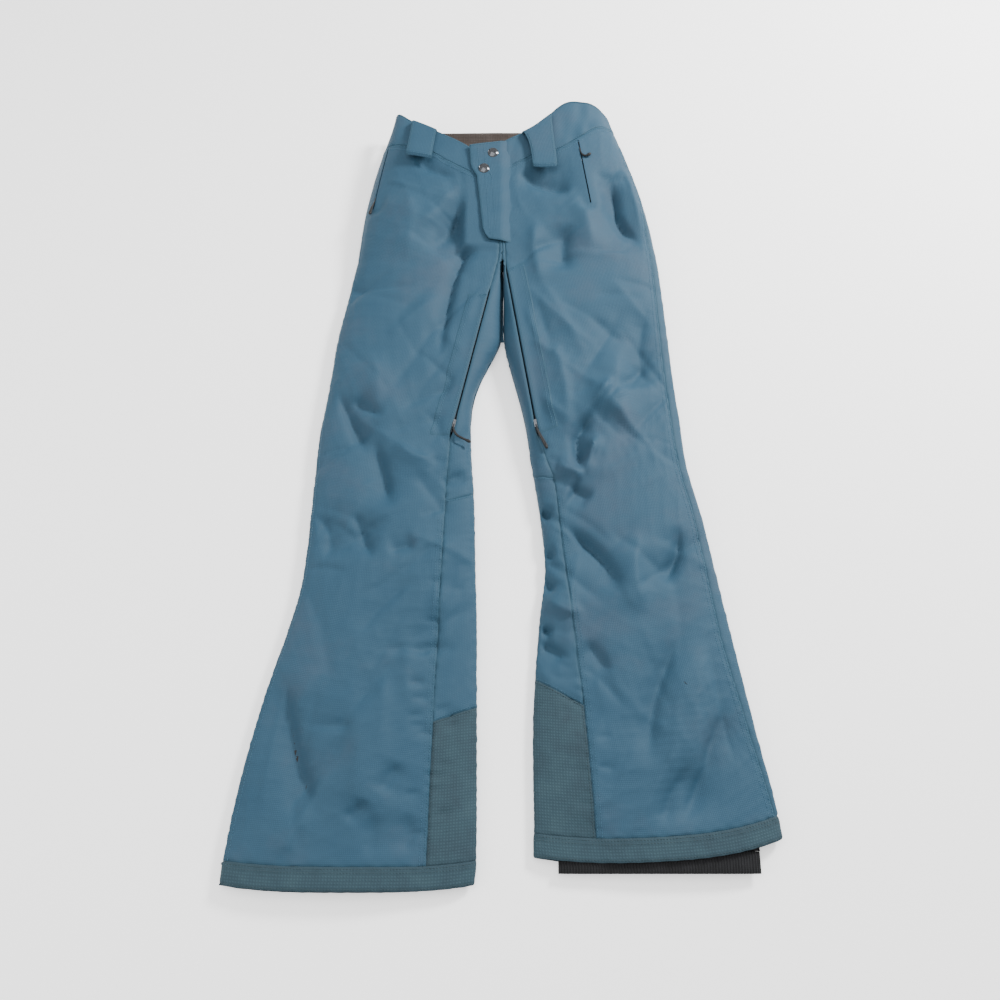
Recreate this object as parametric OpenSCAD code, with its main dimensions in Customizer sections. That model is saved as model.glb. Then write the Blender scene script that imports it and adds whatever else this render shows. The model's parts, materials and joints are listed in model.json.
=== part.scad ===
// Ski pants, laid flat on their back: front up (+Z), waist towards +Y, wearer's left towards +X.
// Sewn panels are thin closed shells with a small seam gap; zips, snaps and pulls are solid hardware.

/* [Shell] */
// Thickness of the laminated shell fabric with its lining
wall = 1.4; // [1.0:0.1:1.8]
// Height of the legs and hips at the folded outer edges
fold_height = 7; // [6:0.5:9]
// Squareness of the outer edge of the legs (2 is an ellipse)
edge_power = 2.6; // [2.2:0.1:3.2]
// Half of the gap between two neighbouring panels
seam_gap = 0.35; // [0.2:0.05:0.5]

/* [Hem and gaiters] */
// Height of the hard-wearing hem band
hem_band = 24; // [18:1:30]
// Length of the inner gaiter that seals over the boot
gaiter_length = 150; // [110:5:180]
// Clearance between the gaiter and the leg round it
gaiter_inset = 4.5; // [4:0.5:5]
// Height of the gaiter's elastic gripper band
gripper_band = 22; // [16:1:28]

/* [Waist] */
// Width of a belt loop
loop_width = 35; // [28:1:40]
// Space under a belt loop for the belt
loop_gap = 6.5; // [6.3:0.1:7]
// Thickness of a belt loop
loop_thick = 1.8; // [1.4:0.1:2.2]
// Diameter of a snap cap
snap_cap_d = 15; // [12:0.5:16]

/* [Zips] */
// Width of the tape on each side of the chain
tape_width = 6; // [5:0.5:7]
// Radius of the coil on each tape
coil_r = 1; // [0.8:0.1:1.0]
// Width of the slit that a vent zip shows through
slit_width = 9; // [8.6:0.1:10]
// Width of the slit over a pocket zip, a little wider than its tapes
pocket_slit = 12.6; // [12.4:0.1:14]
// Radius of the pull's hinge pin
pin_r = 0.7; // [0.6:0.05:0.8]
// Radius of the cord on a pull
cord_r = 1.1; // [0.9:0.1:1.2]

/* [Hidden] */
$fn = 32;

SHELL = "#4d7189";
TRIM = "#55707a";
LINING = "#75665b";
BLACK = "#1b1c1e";
METAL = "#b9bcc0";

LEFT = 1;   // the wearer's left side, +X
RIGHT = -1; // the wearer's right side, -X

// Folded outline of each side as it lies: [y, distance of the inner fold, of the outer fold] from the centre line.
LEFT_OUTLINE = [[-520, 31, 293], [-448, 32, 292], [-348, 33, 276], [-224, 42, 257], [-164, 49, 248], [-101, 45, 239],
    [-34, 36, 226], [35, 27, 221], [100, 12, 217], [148, 2.2, 215], [256, 2.2, 210], [270, 0.3, 209],
    [360, 0.3, 196], [440, 0.3, 176], [516, 0.3, 150]];
RIGHT_OUTLINE = [[-520, 31, 292], [-484, 27, 291], [-401, 27, 281], [-316, 28, 265], [-230, 29, 243], [-176, 31, 233],
    [-75, 34, 229], [7, 39, 227], [63, 36, 221], [110, 19, 217], [148, 2.2, 214], [256, 2.2, 197], [270, 0.3, 195],
    [352, 0.3, 188], [440, 0.3, 172], [516, 0.3, 151]];
// Height of the front layer along the body: [y, height]
CROWN = [[-520, 19], [-400, 22], [-200, 26], [0, 29], [150, 33], [262, 38], [289, 40], [516, 64.7]];
// Inner seam, which carries the thigh vent: [y, distance from the centre line]
LEFT_SEAM = [[-520, 98], [-465, 97], [-325, 89], [-52, 62], [2, 44], [246, 5.5], [300, 3]];
RIGHT_SEAM = [[-520, 80], [-343, 76], [-80, 68], [2, 64], [217, 16], [262, 5.5], [300, 3]];
// Height of the inner seam, straight along the vent: [y, height]
SEAM_HEIGHT = [[-520, 14], [-300, 18], [-60, 22.5], [0, 25], [262, 36], [300, 40.5], [516, 64]];
// Outer seam, as a share of the way over the front: [y, share]
LEFT_OUTSEAM = [[-520, 0.92], [-437, 0.91], [-251, 0.835], [-79, 0.845], [29, 0.84], [260, 0.86], [516, 0.9]];
RIGHT_OUTSEAM = [[-520, 0.97], [516, 0.97]];
// Where the front of the waistband is sewn to the body: [distance from the centre line, y]
LEFT_WAIST_SEAM = [[0, 395], [13, 406], [43, 425], [79, 433], [103, 450], [130, 473], [174, 488]];
RIGHT_WAIST_SEAM = [[0, 388], [36, 392], [77, 415], [94, 427], [132, 441], [175, 458]];
// Upper edge of the front waistband: [share of the way to the side, distance from the centre line, y, height]
LEFT_WAIST_EDGE = [[0, 3.4, 446, 58], [0.16, 43, 470, 59], [0.26, 63, 487, 61], [0.36, 78, 504, 62], [0.48, 97, 514, 62],
    [0.64, 124, 516, 56], [0.78, 142, 512, 45], [0.9, 151, 507, 32], [1, 153, 504, 23]];
RIGHT_WAIST_EDGE = [[0, 0.3, 440, 55.8], [0.2, 32, 431, 54.6], [0.34, 54, 445, 55], [0.56, 93, 471, 52], [0.76, 127, 493, 48],
    [0.9, 148, 510, 42], [1, 153, 506, 24]];

fly_x = 8.3;        // the fly zip's distance from the centre line, on the wearer's right
fly_ends = [302, 381];
fly_slit = 17;      // edge of the wearer's right front panel beside the fly zip
fly_rise = 24.7 / 227; // slope of the front layer from the fly up to the waist
flap_gap = 2;       // space under the fly flap for the slider and the snap sockets
flap_thick = 1.5;
flap_hinge_x = 2.1; // the flap's stitched edge
snap_places = [[-12.7, 424], [-24.7, 399]];
pocket_share = [0.6, 0.925]; // how far across the front each pocket zip lies: left, right
pocket_ends = [350, 444];
vent_ends = [[14, 240], [14, 205]]; // lower and upper end of each vent: left, right
zip_depth = 2.7;    // depth of a zip's chain below the face of the fabric
chain_gap = 0.45;   // half of the gap between the two coils
slider_length = 10;
slider_half = 3.7;
plate_low = 1.25;   // inner face of a slider's plates, from the chain's middle
plate_high = 2.15;
crown_top = 4.6;
pin_up = 3.35;      // height of the pull's pin over the chain's middle

// --- small helpers ---
function mix(a, b, t) = a + (b - a) * t;
function clamp01(t) = min(1, max(0, t));
function ease(t) = let(c = clamp01(t)) c * c * (3 - 2 * c);
function unit(v) = v / norm(v);
function outline(side) = side == LEFT ? LEFT_OUTLINE : RIGHT_OUTLINE;
function span(table, key, i = 0) = i >= len(table) - 2 || key < table[i + 1][0] ? i : span(table, key, i + 1);
function slope(table, i, k) = let(a = max(0, i - 1), b = min(len(table) - 1, i + 1))
    (table[b][k] - table[a][k]) / (table[b][0] - table[a][0]);
// Smooth curve through a table's points
function curve(table, key, k = 1) =
    let(i = span(table, key), a = table[i], b = table[i + 1], w = b[0] - a[0], t = clamp01((key - a[0]) / w),
        ma = slope(table, i, k) * w, mb = slope(table, i + 1, k) * w)
    (2 * t * t * t - 3 * t * t + 1) * a[k] + (t * t * t - 2 * t * t + t) * ma
    + (3 * t * t - 2 * t * t * t) * b[k] + (t * t * t - t * t) * mb;

// --- the lie of the body ---
function inner_x(side, y) = max(0.3, curve(outline(side), y, 1));
function outer_x(side, y) = curve(outline(side), y, 2);
function seam_x(side, y) = lookup(y, side == LEFT ? LEFT_SEAM : RIGHT_SEAM);
function across(a) = (1 - cos(180 * a)) / 2;
function share_of(side, y, x) =
    acos(1 - 2 * clamp01((x - inner_x(side, y)) / (outer_x(side, y) - inner_x(side, y)))) / 180;
function hip(y) = ease((y - 170) / 90); // 0 on the legs, 1 where left and right are one body
function front_z(side, y, s) =
    let(h = lookup(y, CROWN), zs = lookup(y, SEAM_HEIGHT), e = hip(y), zi = mix(fold_height, zs, e),
        xs = max(0.004, (seam_x(side, y) - inner_x(side, y)) / (outer_x(side, y) - inner_x(side, y))))
    s < xs ? zi + (zs - zi) * pow(max(0, 1 - pow(1 - s / xs, 2.2)), 1 / 2.2)
    : s < 0.5 ? zs + (h - zs) * sin(90 * (s - xs) / (0.5 - xs))
    : fold_height + (h - fold_height) * pow(max(0, 1 - pow(2 * s - 1, edge_power)), 1 / edge_power);
function back_z(side, y, s) =
    let(q = max(0, (abs(2 * s - 1) - 0.72) / 0.28), rise = 1 - sqrt(max(0, 1 - q * q)))
    fold_height * rise * (s < 0.5 ? 1 - hip(y) : 1);
// A point on the body: a runs from the inner fold (0) over the front to the outer fold (1) and back underneath (2).
function body(side, a, y) =
    let(s = across(a), x = mix(inner_x(side, y), outer_x(side, y), s))
    [side * x, y, a <= 1 ? front_z(side, y, s) : back_z(side, y, s)];
// The same, pulled in towards the middle of the leg for a layer that lies inside
function inside(side, a, y, inset, drop) =
    let(s = across(a), x = mix(inner_x(side, y) + inset, outer_x(side, y) - inset, s), z = body(side, a, y)[2],
        h = lookup(y, CROWN))
    [side * x, y, drop + z * (h - 2 * drop) / h];

// The way out of the body's surface, the same for both panels at a seam
function around(side, a, y) = hip(y) == 0 && (a < 0 || a > 2) ? body(side, a < 0 ? a + 2 : a - 2, y)
    : body(side, min(2, max(0, a)), y);
function body_normal(side, a, y) =
    side * unit(cross(around(side, a + 0.004, y) - around(side, a - 0.004, y), body(side, a, y + 2) - body(side, a, y - 2)));
// A place on the surface moved round the body by a length
function shift(side, a, y, length) = a + 0.02 * length / norm(around(side, a + 0.01, y) - around(side, a - 0.01, y));

// --- shells ---
function normal_at(p, i, j, side) =
    let(r = len(p) - 1, c = len(p[0]) - 1,
        u = p[i][min(c, j + 1)] - p[i][max(0, j - 1)], v = p[min(r, i + 1)][j] - p[max(0, i - 1)][j])
    side * unit(cross(u, v));
function tri(a, b, c, d, turn) = turn > 0 ? [[a, b, c], [a, c, d]] : [[c, b, a], [d, c, a]];
// A closed sheet on the grid p (rows up the body, columns round it), lifted off it and given its thickness inwards
module sheet(p, side, thick = wall, lift = 0, ways = undef) {
    r = len(p);
    c = len(p[0]);
    normals = is_undef(ways) ? [for (i = [0:r - 1]) [for (j = [0:c - 1]) normal_at(p, i, j, side)]] : ways;
    top = [for (i = [0:r - 1], j = [0:c - 1]) p[i][j] + normals[i][j] * lift];
    low = [for (i = [0:r - 1], j = [0:c - 1]) p[i][j] + normals[i][j] * (lift - thick)];
    n = r * c;
    faces = concat(
        [for (i = [0:r - 2], j = [0:c - 2], f = tri(i * c + j, (i + 1) * c + j, (i + 1) * c + j + 1, i * c + j + 1, side)) f],
        [for (i = [0:r - 2], j = [0:c - 2],
            f = tri(n + i * c + j, n + (i + 1) * c + j, n + (i + 1) * c + j + 1, n + i * c + j + 1, -side)) f],
        [for (j = [0:c - 2], f = tri(j, j + 1, n + j + 1, n + j, side)) f],
        [for (j = [0:c - 2], k = [(r - 1) * c + j], f = tri(k + 1, k, n + k, n + k + 1, side)) f],
        [for (i = [0:r - 2], k = [i * c], f = tri(k + c, k, n + k, n + k + c, side)) f],
        [for (i = [0:r - 2], k = [i * c + c - 1], f = tri(k, k + c, n + k + c, n + k, side)) f]);
    polyhedron(points = concat(top, low), faces = faces, convexity = 6);
}
// Places of a panel's grid, as [share round the body, y], between two side seams (functions of y) and two end lines
// (functions of the share across)
function panel_places(from_a, to_a, low_y, high_y, columns, rows) =
    [for (i = [0:rows]) [for (j = [0:columns])
        let(t = i / rows, s = j / columns)
        [mix(from_a(mix(low_y(0), high_y(0), t)), to_a(mix(low_y(1), high_y(1), t)), s), mix(low_y(s), high_y(s), t)]]];
module panel(side, from_a, to_a, low_y, high_y, columns, rows, thick = wall, lift = 0) {
    places = panel_places(from_a, to_a, low_y, high_y, columns, rows);
    sheet([for (row = places) [for (p = row) body(side, p[0], p[1])]], side, thick, lift,
        [for (row = places) [for (p = row) body_normal(side, p[0], p[1])]]);
}

// --- seam lines ---
function hem_line(side, s) = side == LEFT
    ? -489 + 7 * pow(abs(2 * s - 1), 3) + 18 * pow(s, 3)
    : -516 + 7 * pow(abs(2 * s - 1), 3);
function hem_top(side, s) = hem_line(side, s) + hem_band;
function inseam_a(side, y) = share_of(side, y, seam_x(side, y));
function outseam_a(side, y) = lookup(y, side == LEFT ? LEFT_OUTSEAM : RIGHT_OUTSEAM);
function waist_seam(side, x) = lookup(x, side == LEFT ? LEFT_WAIST_SEAM : RIGHT_WAIST_SEAM);
// The waist seam at a place round the front
function waist_at(side, a) = let(y = waist_seam(side, 174 * across(a))) waist_seam(side, outer_x(side, y) * across(a));
back_waist = 449;            // the back waistband's seam in the middle
back_corners = [40, 12];     // and how much higher it is at the sides: left, right
back_half = 164;
function back_waist_at(x, side) = back_waist + of_side(side, back_corners) * pow(x / back_half, 4);
hem_y = -495;                // where the hem's seams are measured round the leg
function slit(side, y) = let(e = of_side(side, vent_ends)) y < e[0] - 34 || y > e[1] + 22 ? 0 : slit_width / 2;
function beside_seam(side, y, off) = share_of(side, y, seam_x(side, y) + off);
kick_top = [[-295, -325], [-326, -343]]; // inner and outer end of each kick patch's upper edge: left, right
knee_line = [[-44, -52], [-66, -80]];    // the same for the seam across the inside of the knee
function of_side(side, pair) = pair[side == LEFT ? 0 : 1];
function kick_line(side, s) = let(k = of_side(side, kick_top)) mix(k[0], k[1], s * s);
function knee(side, s) = let(k = of_side(side, knee_line)) mix(k[0], k[1], s);

// --- front and back of the body ---
function on_inseam(side, y, gap) = shift(side, inseam_a(side, y), y, gap);
function on_outseam(side, y, gap) = shift(side, outseam_a(side, y), y, gap);
// The panel's edge at the inner fold: on the front with a gap above 0, on the back with one below 0
function on_fold(side, y, gap) =
    let(edge = hip(y) == 0 ? shift(side, 0, y, abs(gap)) : share_of(side, y, inner_x(side, y) + 0.15))
    gap > 0 ? edge : hip(y) == 0 ? shift(side, 2, y, gap) : 2 - edge;
module front_panel(side) color(SHELL) difference() {
    panel(side, function(y) y > 284 && y < 396 && side == RIGHT ? share_of(side, y, fly_slit)
            : y > 262 ? share_of(side, y, 0.5) : shift(side, beside_seam(side, y, slit(side, y)), y, seam_gap),
        function(y) on_outseam(side, y, -seam_gap),
        function(s) hem_top(side, across(mix(inseam_a(side, hem_y), outseam_a(side, hem_y), s))) + seam_gap,
        function(s) waist_at(side, s * outseam_a(side, 450)) - 0.5, 20, 38);
    on_zip(pocket_line(side)) translate([-slider_length, -pocket_slit / 2, -4])
        cube([zip_run(pocket_line(side)) + 2 * slider_length, pocket_slit, 12]);
}
module back_panel(side) color(SHELL)
    panel(side, function(y) on_outseam(side, y, seam_gap), function(y) on_fold(side, y, -seam_gap),
        function(s) hem_top(side, across(mix(outseam_a(side, hem_y), 2, s))) + seam_gap,
        function(s) let(a = mix(outseam_a(side, 450), 2, s))
            (a < 1 ? waist_at(side, a) : back_waist_at(min(160, 160 * across(a)), side)) - 0.5, 20, 38);
module inner_thigh(side) color(SHELL)
    panel(side, function(y) on_fold(side, y, seam_gap),
        function(y) shift(side, beside_seam(side, y, -1.4 * slit(side, y)), y, -seam_gap),
        function(s) knee(side, s) + seam_gap, function(s) mix(222, 200, s), 4, 20);
module inner_calf(side) color(SHELL)
    panel(side, function(y) on_fold(side, y, seam_gap), function(y) on_inseam(side, y, -seam_gap),
        function(s) kick_line(side, s) + seam_gap, function(s) knee(side, s) - seam_gap, 6, 12);
module kick_patch(side) color(TRIM)
    panel(side, function(y) on_fold(side, y, seam_gap), function(y) on_inseam(side, y, -seam_gap),
        function(s) hem_top(side, across(s * inseam_a(side, hem_y))) + seam_gap,
        function(s) kick_line(side, s) - seam_gap, 6, 10);
module hem(side) color(TRIM)
    panel(side, function(y) on_fold(side, y, seam_gap), function(y) on_fold(side, y, -seam_gap),
        function(s) hem_line(side, across(2 * s)), function(s) hem_top(side, across(2 * s)) - seam_gap, 40, 2);
// Upright strip that joins front and back between the thighs
module crotch_gusset() color(SHELL) {
    apart = 1.2; // half of the gap between the thighs
    for (side = [LEFT, RIGHT])
        sheet([for (y = [200, 217, 235, 252]) [for (k = [0:4])
            [side * apart, y, mix(back_z(side, y, 0) + 2, front_z(side, y, 0) - 2, k / 4)]]], -side, 0.8);
}

// --- waistband ---
function edge_point(side, s) =
    let(t = side == LEFT ? LEFT_WAIST_EDGE : RIGHT_WAIST_EDGE) [side * curve(t, s, 1), curve(t, s, 2), curve(t, s, 3)];
function band_base(side, s) =
    let(x = mix(side == LEFT ? 3.4 : 0.6, 170, s), y = waist_seam(side, x), o = min(x, outer_x(side, y) - 0.4),
        f = (o - inner_x(side, y)) / (outer_x(side, y) - inner_x(side, y)))
    [side * o, y + 0.5, front_z(side, y, f)];
function band_grid(side, columns, rows, from = 0, to = 1) =
    [for (i = [0:rows]) [for (j = [0:columns])
        let(s = mix(from, to, j / columns), t = i / rows) mix(band_base(side, s), edge_point(side, s), t)]];
module waistband_front(side) color(SHELL) sheet(band_grid(side, 20, 3), side, 2);
function back_band_point(u, t) = // u from -1 (wearer's right) to 1, t from the seam to the upper edge
    let(x = 154 * u + (1 - t) * 10 * u, q = max(0, (abs(u) - 0.72) / 0.28))
    [x, mix(back_waist_at(back_half * u, u > 0 ? LEFT : RIGHT) + 0.5, 497 + 8 * pow(abs(u), 4), t),
        loop_gap + loop_thick + 0.6 + 13 * t * t * (1 - 0.5 * u * u)
        + 9 * (1 - sqrt(max(0, 1 - q * q))) * (1 - 0.4 * t)];
function back_band_grid(columns, rows, from, to, low = 0, high = 1) =
    [for (i = [0:rows]) [for (j = [0:columns])
        back_band_point(mix(from, to, j / columns), mix(low, high, i / rows))]];
module waistband_back() color(SHELL) sheet(back_band_grid(28, 4, -0.985, 0.985), LEFT, 1.6, 1.6);
module waistband_lining() color(LINING) sheet(back_band_grid(24, 4, -0.9, 0.9, 0.06, 0.97), LEFT, 1, 3);

// --- belt loops: a strip that stands off the band, with both ends turned down onto it ---
function loop_profile(t, length) = // height over the band along the loop
    let(foot = 7 / length) (loop_gap + loop_thick) * ease(min(t, 1 - t) / foot);
module belt_loop(p, side) { // p: grid of three columns on the band's face, rows along the loop
    r = len(p) - 1;
    length = norm(p[r][1] - p[0][1]);
    lifted = [for (i = [0:r]) [for (j = [0:len(p[0]) - 1])
        p[i][j] + normal_at(p, i, j, side) * (0.15 + loop_thick + loop_profile(i / r, length) * 0.78)]];
    sheet(lifted, side, loop_thick);
}
// Each front loop's middle at the seam and at the upper edge, as shares of the way to the side
loop_seats = [[0.37, 0.19], [0.66, 0.64]];
module belt_loop_front(side) color(SHELL) {
    seat = of_side(side, loop_seats);
    half = loop_width / 2 / 174;
    belt_loop([for (i = [0:12]) [for (j = [0:2])
        let(t = mix(-0.02, 0.99, i / 12), s = mix(seat[0], seat[1], t) + (j - 1) * half)
        mix(band_base(side, s), edge_point(side, s), t)]], side);
}
module belt_loops_back() color(SHELL)
    for (mid = [-0.62, 0, 0.62])
        belt_loop([for (i = [0:12]) [for (j = [0:2])
            let(u = mid + (j - 1) * loop_width / 2 / 154) back_band_point(u, mix(0.03, 0.97, i / 12))]], RIGHT);

// --- zips: each runs straight from its lower to its upper end ---
// A zip line is [lower end, upper end, direction across the chain]
function surface_line(side, x1, y1, x2, y2) =
    let(s1 = share_of(side, y1, x1), s2 = share_of(side, y2, x2), low = body(side, s1, y1), high = body(side, s2, y2),
        over = unit(body(side, s1 + 0.01, y1) - body(side, s1 - 0.01, y1)),
        along = unit(high - low), up = unit(side * cross(over, along)))
    [low - up * zip_depth, high - up * zip_depth, up];
function pocket_line(side) =
    let(f = of_side(side, pocket_share), y1 = pocket_ends[0], y2 = pocket_ends[1])
    surface_line(side, f * outer_x(side, y1), y1, f * outer_x(side, y2), y2);
function vent_line(side) =
    let(e = of_side(side, vent_ends)) surface_line(side, seam_x(side, e[0]), e[0], seam_x(side, e[1]), e[1]);
function fly_line() =
    let(z = function(y) 40 + (y - 289) * fly_rise, up = unit([0, -fly_rise, 1]))
    [[-fly_x, fly_ends[0], z(fly_ends[0])] - up * 1.9, [-fly_x, fly_ends[1], z(fly_ends[1])] - up * 1.9, up];
function zip_run(line) = norm(line[1] - line[0]);
module on_zip(line) { // local +X up the zip, +Z out of the fabric
    x = unit(line[1] - line[0]);
    z = unit(line[2] - x * (line[2] * x));
    y = cross(z, x);
    multmatrix([[x[0], y[0], z[0], line[0][0]], [x[1], y[1], z[1], line[0][1]], [x[2], y[2], z[2], line[0][2]],
        [0, 0, 0, 1]]) children();
}
module zip_chain(length) // two tapes, each with its coil, a hair apart
    for (m = [-1, 1]) {
        translate([-4, m > 0 ? chain_gap : -tape_width, -0.25]) cube([length + 8, tape_width - chain_gap, 0.5]);
        translate([0, m * (chain_gap + coil_r - 0.1), 0]) rotate([0, 90, 0]) cylinder(r = coil_r, h = length);
    }
module slider_body(low_crown = false) {
    half = slider_length / 2;
    for (m = [-1, 1])
        translate([-half, -slider_half, m > 0 ? plate_low : -plate_high])
            cube([slider_length, 2 * slider_half, plate_high - plate_low]);
    for (m = [-1, 1])
        translate([-half, m > 0 ? 3.1 : -slider_half, 0.5]) cube([slider_length, slider_half - 3.1, plate_high - 0.6]);
    translate([half - 3, -0.25, -plate_high + 0.1]) cube([2.4, 0.5, 2 * plate_high - 0.2]);
    if (!low_crown) difference() {
        translate([-2.6, -0.8, plate_high - 0.1]) cube([5.2, 1.6, crown_top - plate_high + 0.1]);
        translate([0, -2, pin_up]) rotate([-90, 0, 0]) cylinder(r = pin_r + 0.08, h = 4);
    }
}
// The pull: a yoke on a pin through the slider's crown, then a cord loop with a moulded end
module pull(cord) {
    translate([0, -2.3, pin_up]) rotate([-90, 0, 0]) cylinder(r = pin_r, h = 4.6);
    for (m = [-1, 1])
        translate([-9, m > 0 ? 1.1 : -2.3, pin_up - pin_r]) cube([9, 1.2, 1.5]);
    translate([-12, -2.3, pin_up - pin_r]) cube([3.6, 4.6, 1.5]);
    for (i = [0:len(cord) - 2]) hull() {
        translate(cord[i]) sphere(r = cord_r, $fn = 14);
        translate(cord[i + 1]) sphere(r = cord_r, $fn = 14);
    }
    translate(cord[len(cord) - 1]) scale(1.5) sphere(r = cord_r, $fn = 14);
}
// Each slider's rest place up its zip, and the way its pull's cord bends
vent_rest = 8;
pocket_rest = [82, 12];
vent_cords = [[[-11, 0, 3.9], [-17, -2, 5.2], [-24, -5, 6.6], [-30, -7, 7]],
    [[-11, 0, 3.9], [-14, -5, 4.4], [-15, -12, 4.6], [-14, -20, 4.4]]];
pocket_cords = [[[-11, 0, 3.9], [-12, -5, 5], [-10, -10, 5.8]], [[-11, 0, 3.9], [-16, 0.5, 4.8], [-23, 0, 5.6]]];
module chain_of(line) color(BLACK) on_zip(line) zip_chain(zip_run(line));
module slider_of(line, rest) color(METAL) on_zip(line) translate([rest, 0, 0]) slider_body();
module pull_of(line, rest, cord) color(BLACK) on_zip(line) translate([rest, 0, 0]) pull(cord);

// --- fly ---
function flap_z(y, up) = 40 + (y - 289) * fly_rise + flap_gap + up;
module flap_plate(points, low, high)
    multmatrix([[1, 0, 0, 0], [0, 1, 0, 0], [0, fly_rise, 1, 40 - 289 * fly_rise], [0, 0, 0, 1]])
        translate([0, 0, low]) linear_extrude(high - low) polygon(points);
module fly_flap() color(SHELL) flap_plate([[flap_hinge_x, 289], [flap_hinge_x, 444.5], [-20, 442], [-45, 437],
    [-43, 405], [-34.5, 385], [-26, 298], [-18, 291], [-10, 289]], flap_gap, flap_gap + flap_thick);
module fly_slider() color(METAL) on_zip(fly_line()) translate([zip_run(fly_line()) - 6, 0, 0]) {
    slider_body(low_crown = true);
    translate([-12, -2, plate_high]) cube([10, 4, 0.9]);
}
module at_snap(place) translate([place[0], place[1], flap_z(place[1], 0)]) rotate([atan(fly_rise), 0, 0]) children();
module snap_cap() {
    intersection() { // domed cap on the face of the flap
        translate([0, 0, flap_thick + 2.4 - 12.9]) sphere(r = 12.9, $fn = 64);
        translate([0, 0, flap_thick + 0.05]) cylinder(d = snap_cap_d, h = 4);
    }
    difference() { // socket under the flap
        translate([0, 0, -1.55]) cylinder(r = 5, h = 1.5);
        translate([0, 0, -2]) cylinder(r = 2.7, h = 3);
    }
}
module snap_caps() color(METAL) for (p = snap_places) at_snap(p) snap_cap();
module snap_studs() color(METAL) for (p = snap_places) at_snap(p) {
    translate([0, 0, -flap_gap + 0.1]) cylinder(r = 4.6, h = 0.3);
    translate([0, 0, -flap_gap + 0.1]) cylinder(r = 2.1, h = 1.2);
}

// --- pockets and vents ---
module pocket_bag(side) color(BLACK) {
    f = of_side(side, pocket_share);
    near = share_of(side, 400, (f - 0.42) * 190);
    far = share_of(side, 400, (f - 0.06) * 190);
    panel(side, function(y) near, function(y) far, function(s) 268, function(s) 430 - 60 * (1 - s), 5, 6,
        thick = 0.8, lift = -6.5);
}
module vent_flap(side) color(SHELL) {
    e = of_side(side, vent_ends);
    panel(side, function(y) beside_seam(side, y, slit_width / 2 + 0.6), function(y) beside_seam(side, y, 30),
        function(s) e[0] - 6, function(s) e[1] - 4, 3, 10, thick = 1, lift = 1.5);
}
module vent_mesh(side) color(BLACK) {
    e = of_side(side, vent_ends);
    panel(side, function(y) beside_seam(side, y, 1), function(y) beside_seam(side, y, 22),
        function(s) e[0] + 4, function(s) e[1] - 14, 3, 8, thick = 0.6, lift = -6.2);
}

// --- gaiters ---
gripper_thick = 1.2;
function gaiter_low(side) = side == LEFT ? -498 : -500;
function tube_grid(side, inset, drop, low, high, columns, rows) =
    [for (i = [0:rows]) [for (j = [0:columns])
        inside(side, mix(0.004, 1.996, j / columns), mix(low, high, i / rows), inset, drop)]];
module gaiter(side) color(BLACK)
    sheet(tube_grid(side, 12, gaiter_inset, gaiter_low(side) + gripper_band + 0.3, gaiter_low(side) + gaiter_length,
        24, 5), side, 0.8);
module gripper(side) color(BLACK)
    sheet(tube_grid(side, gripper_inset(side), gaiter_inset, gaiter_low(side), gaiter_low(side) + gripper_band,
        24, 1), side, gripper_thick);
function gripper_inset(side) = side == LEFT ? 26 : 22;
// Hook for the boot lace, on a short tab inside the front of the gripper
hook_wire = 0.6;
module lace_hook(side) color(METAL) {
    seat = inside(side, 0.5, gaiter_low(side) + 15, gripper_inset(side), gaiter_inset);
    translate(seat - [0, 0, gripper_thick + 0.5]) {
        translate([-6, -6, -1]) cube([12, 12, 1]);
        for (m = [-4, 4]) translate([m, -11, -0.5]) rotate([-90, 0, 0]) cylinder(r = hook_wire, h = 7);
        translate([-4, -11, -0.5]) rotate([0, 90, 0]) cylinder(r = hook_wire, h = 8);
        translate([0, -11, -2]) cylinder(r = hook_wire, h = 1.5);
        translate([0, -11, -2]) rotate([-90, 0, 0]) cylinder(r = hook_wire, h = 5);
    }
}

front_panel(LEFT);  // front_panel_left
front_panel(RIGHT);  // front_panel_right
back_panel(LEFT);  // back_panel_left
back_panel(RIGHT);  // back_panel_right
inner_thigh(LEFT);  // inner_thigh_left
inner_thigh(RIGHT);  // inner_thigh_right
inner_calf(LEFT);  // inner_calf_left
inner_calf(RIGHT);  // inner_calf_right
kick_patch(LEFT);  // kick_patch_left
kick_patch(RIGHT);  // kick_patch_right
hem(LEFT);  // hem_band_left
hem(RIGHT);  // hem_band_right
crotch_gusset();
waistband_front(LEFT);  // waistband_front_left
waistband_front(RIGHT);  // waistband_front_right
waistband_back();
waistband_lining();
belt_loop_front(LEFT);  // belt_loop_front_left
belt_loop_front(RIGHT);  // belt_loop_front_right
belt_loops_back();
fly_flap();
chain_of(fly_line());  // fly_zip
fly_slider();
snap_caps();
snap_studs();
chain_of(pocket_line(LEFT));  // pocket_zip_left
chain_of(pocket_line(RIGHT));  // pocket_zip_right
slider_of(pocket_line(LEFT), pocket_rest[0]);  // pocket_slider_left
slider_of(pocket_line(RIGHT), pocket_rest[1]);  // pocket_slider_right
pull_of(pocket_line(LEFT), pocket_rest[0], pocket_cords[0]);  // pocket_pull_left
pull_of(pocket_line(RIGHT), pocket_rest[1], pocket_cords[1]);  // pocket_pull_right
pocket_bag(LEFT);  // pocket_bag_left
pocket_bag(RIGHT);  // pocket_bag_right
vent_flap(LEFT);  // vent_flap_left
vent_flap(RIGHT);  // vent_flap_right
chain_of(vent_line(LEFT));  // vent_zip_left
chain_of(vent_line(RIGHT));  // vent_zip_right
slider_of(vent_line(LEFT), vent_rest);  // vent_slider_left
slider_of(vent_line(RIGHT), vent_rest);  // vent_slider_right
pull_of(vent_line(LEFT), vent_rest, vent_cords[0]);  // vent_pull_left
pull_of(vent_line(RIGHT), vent_rest, vent_cords[1]);  // vent_pull_right
vent_mesh(LEFT);  // vent_mesh_left
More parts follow.
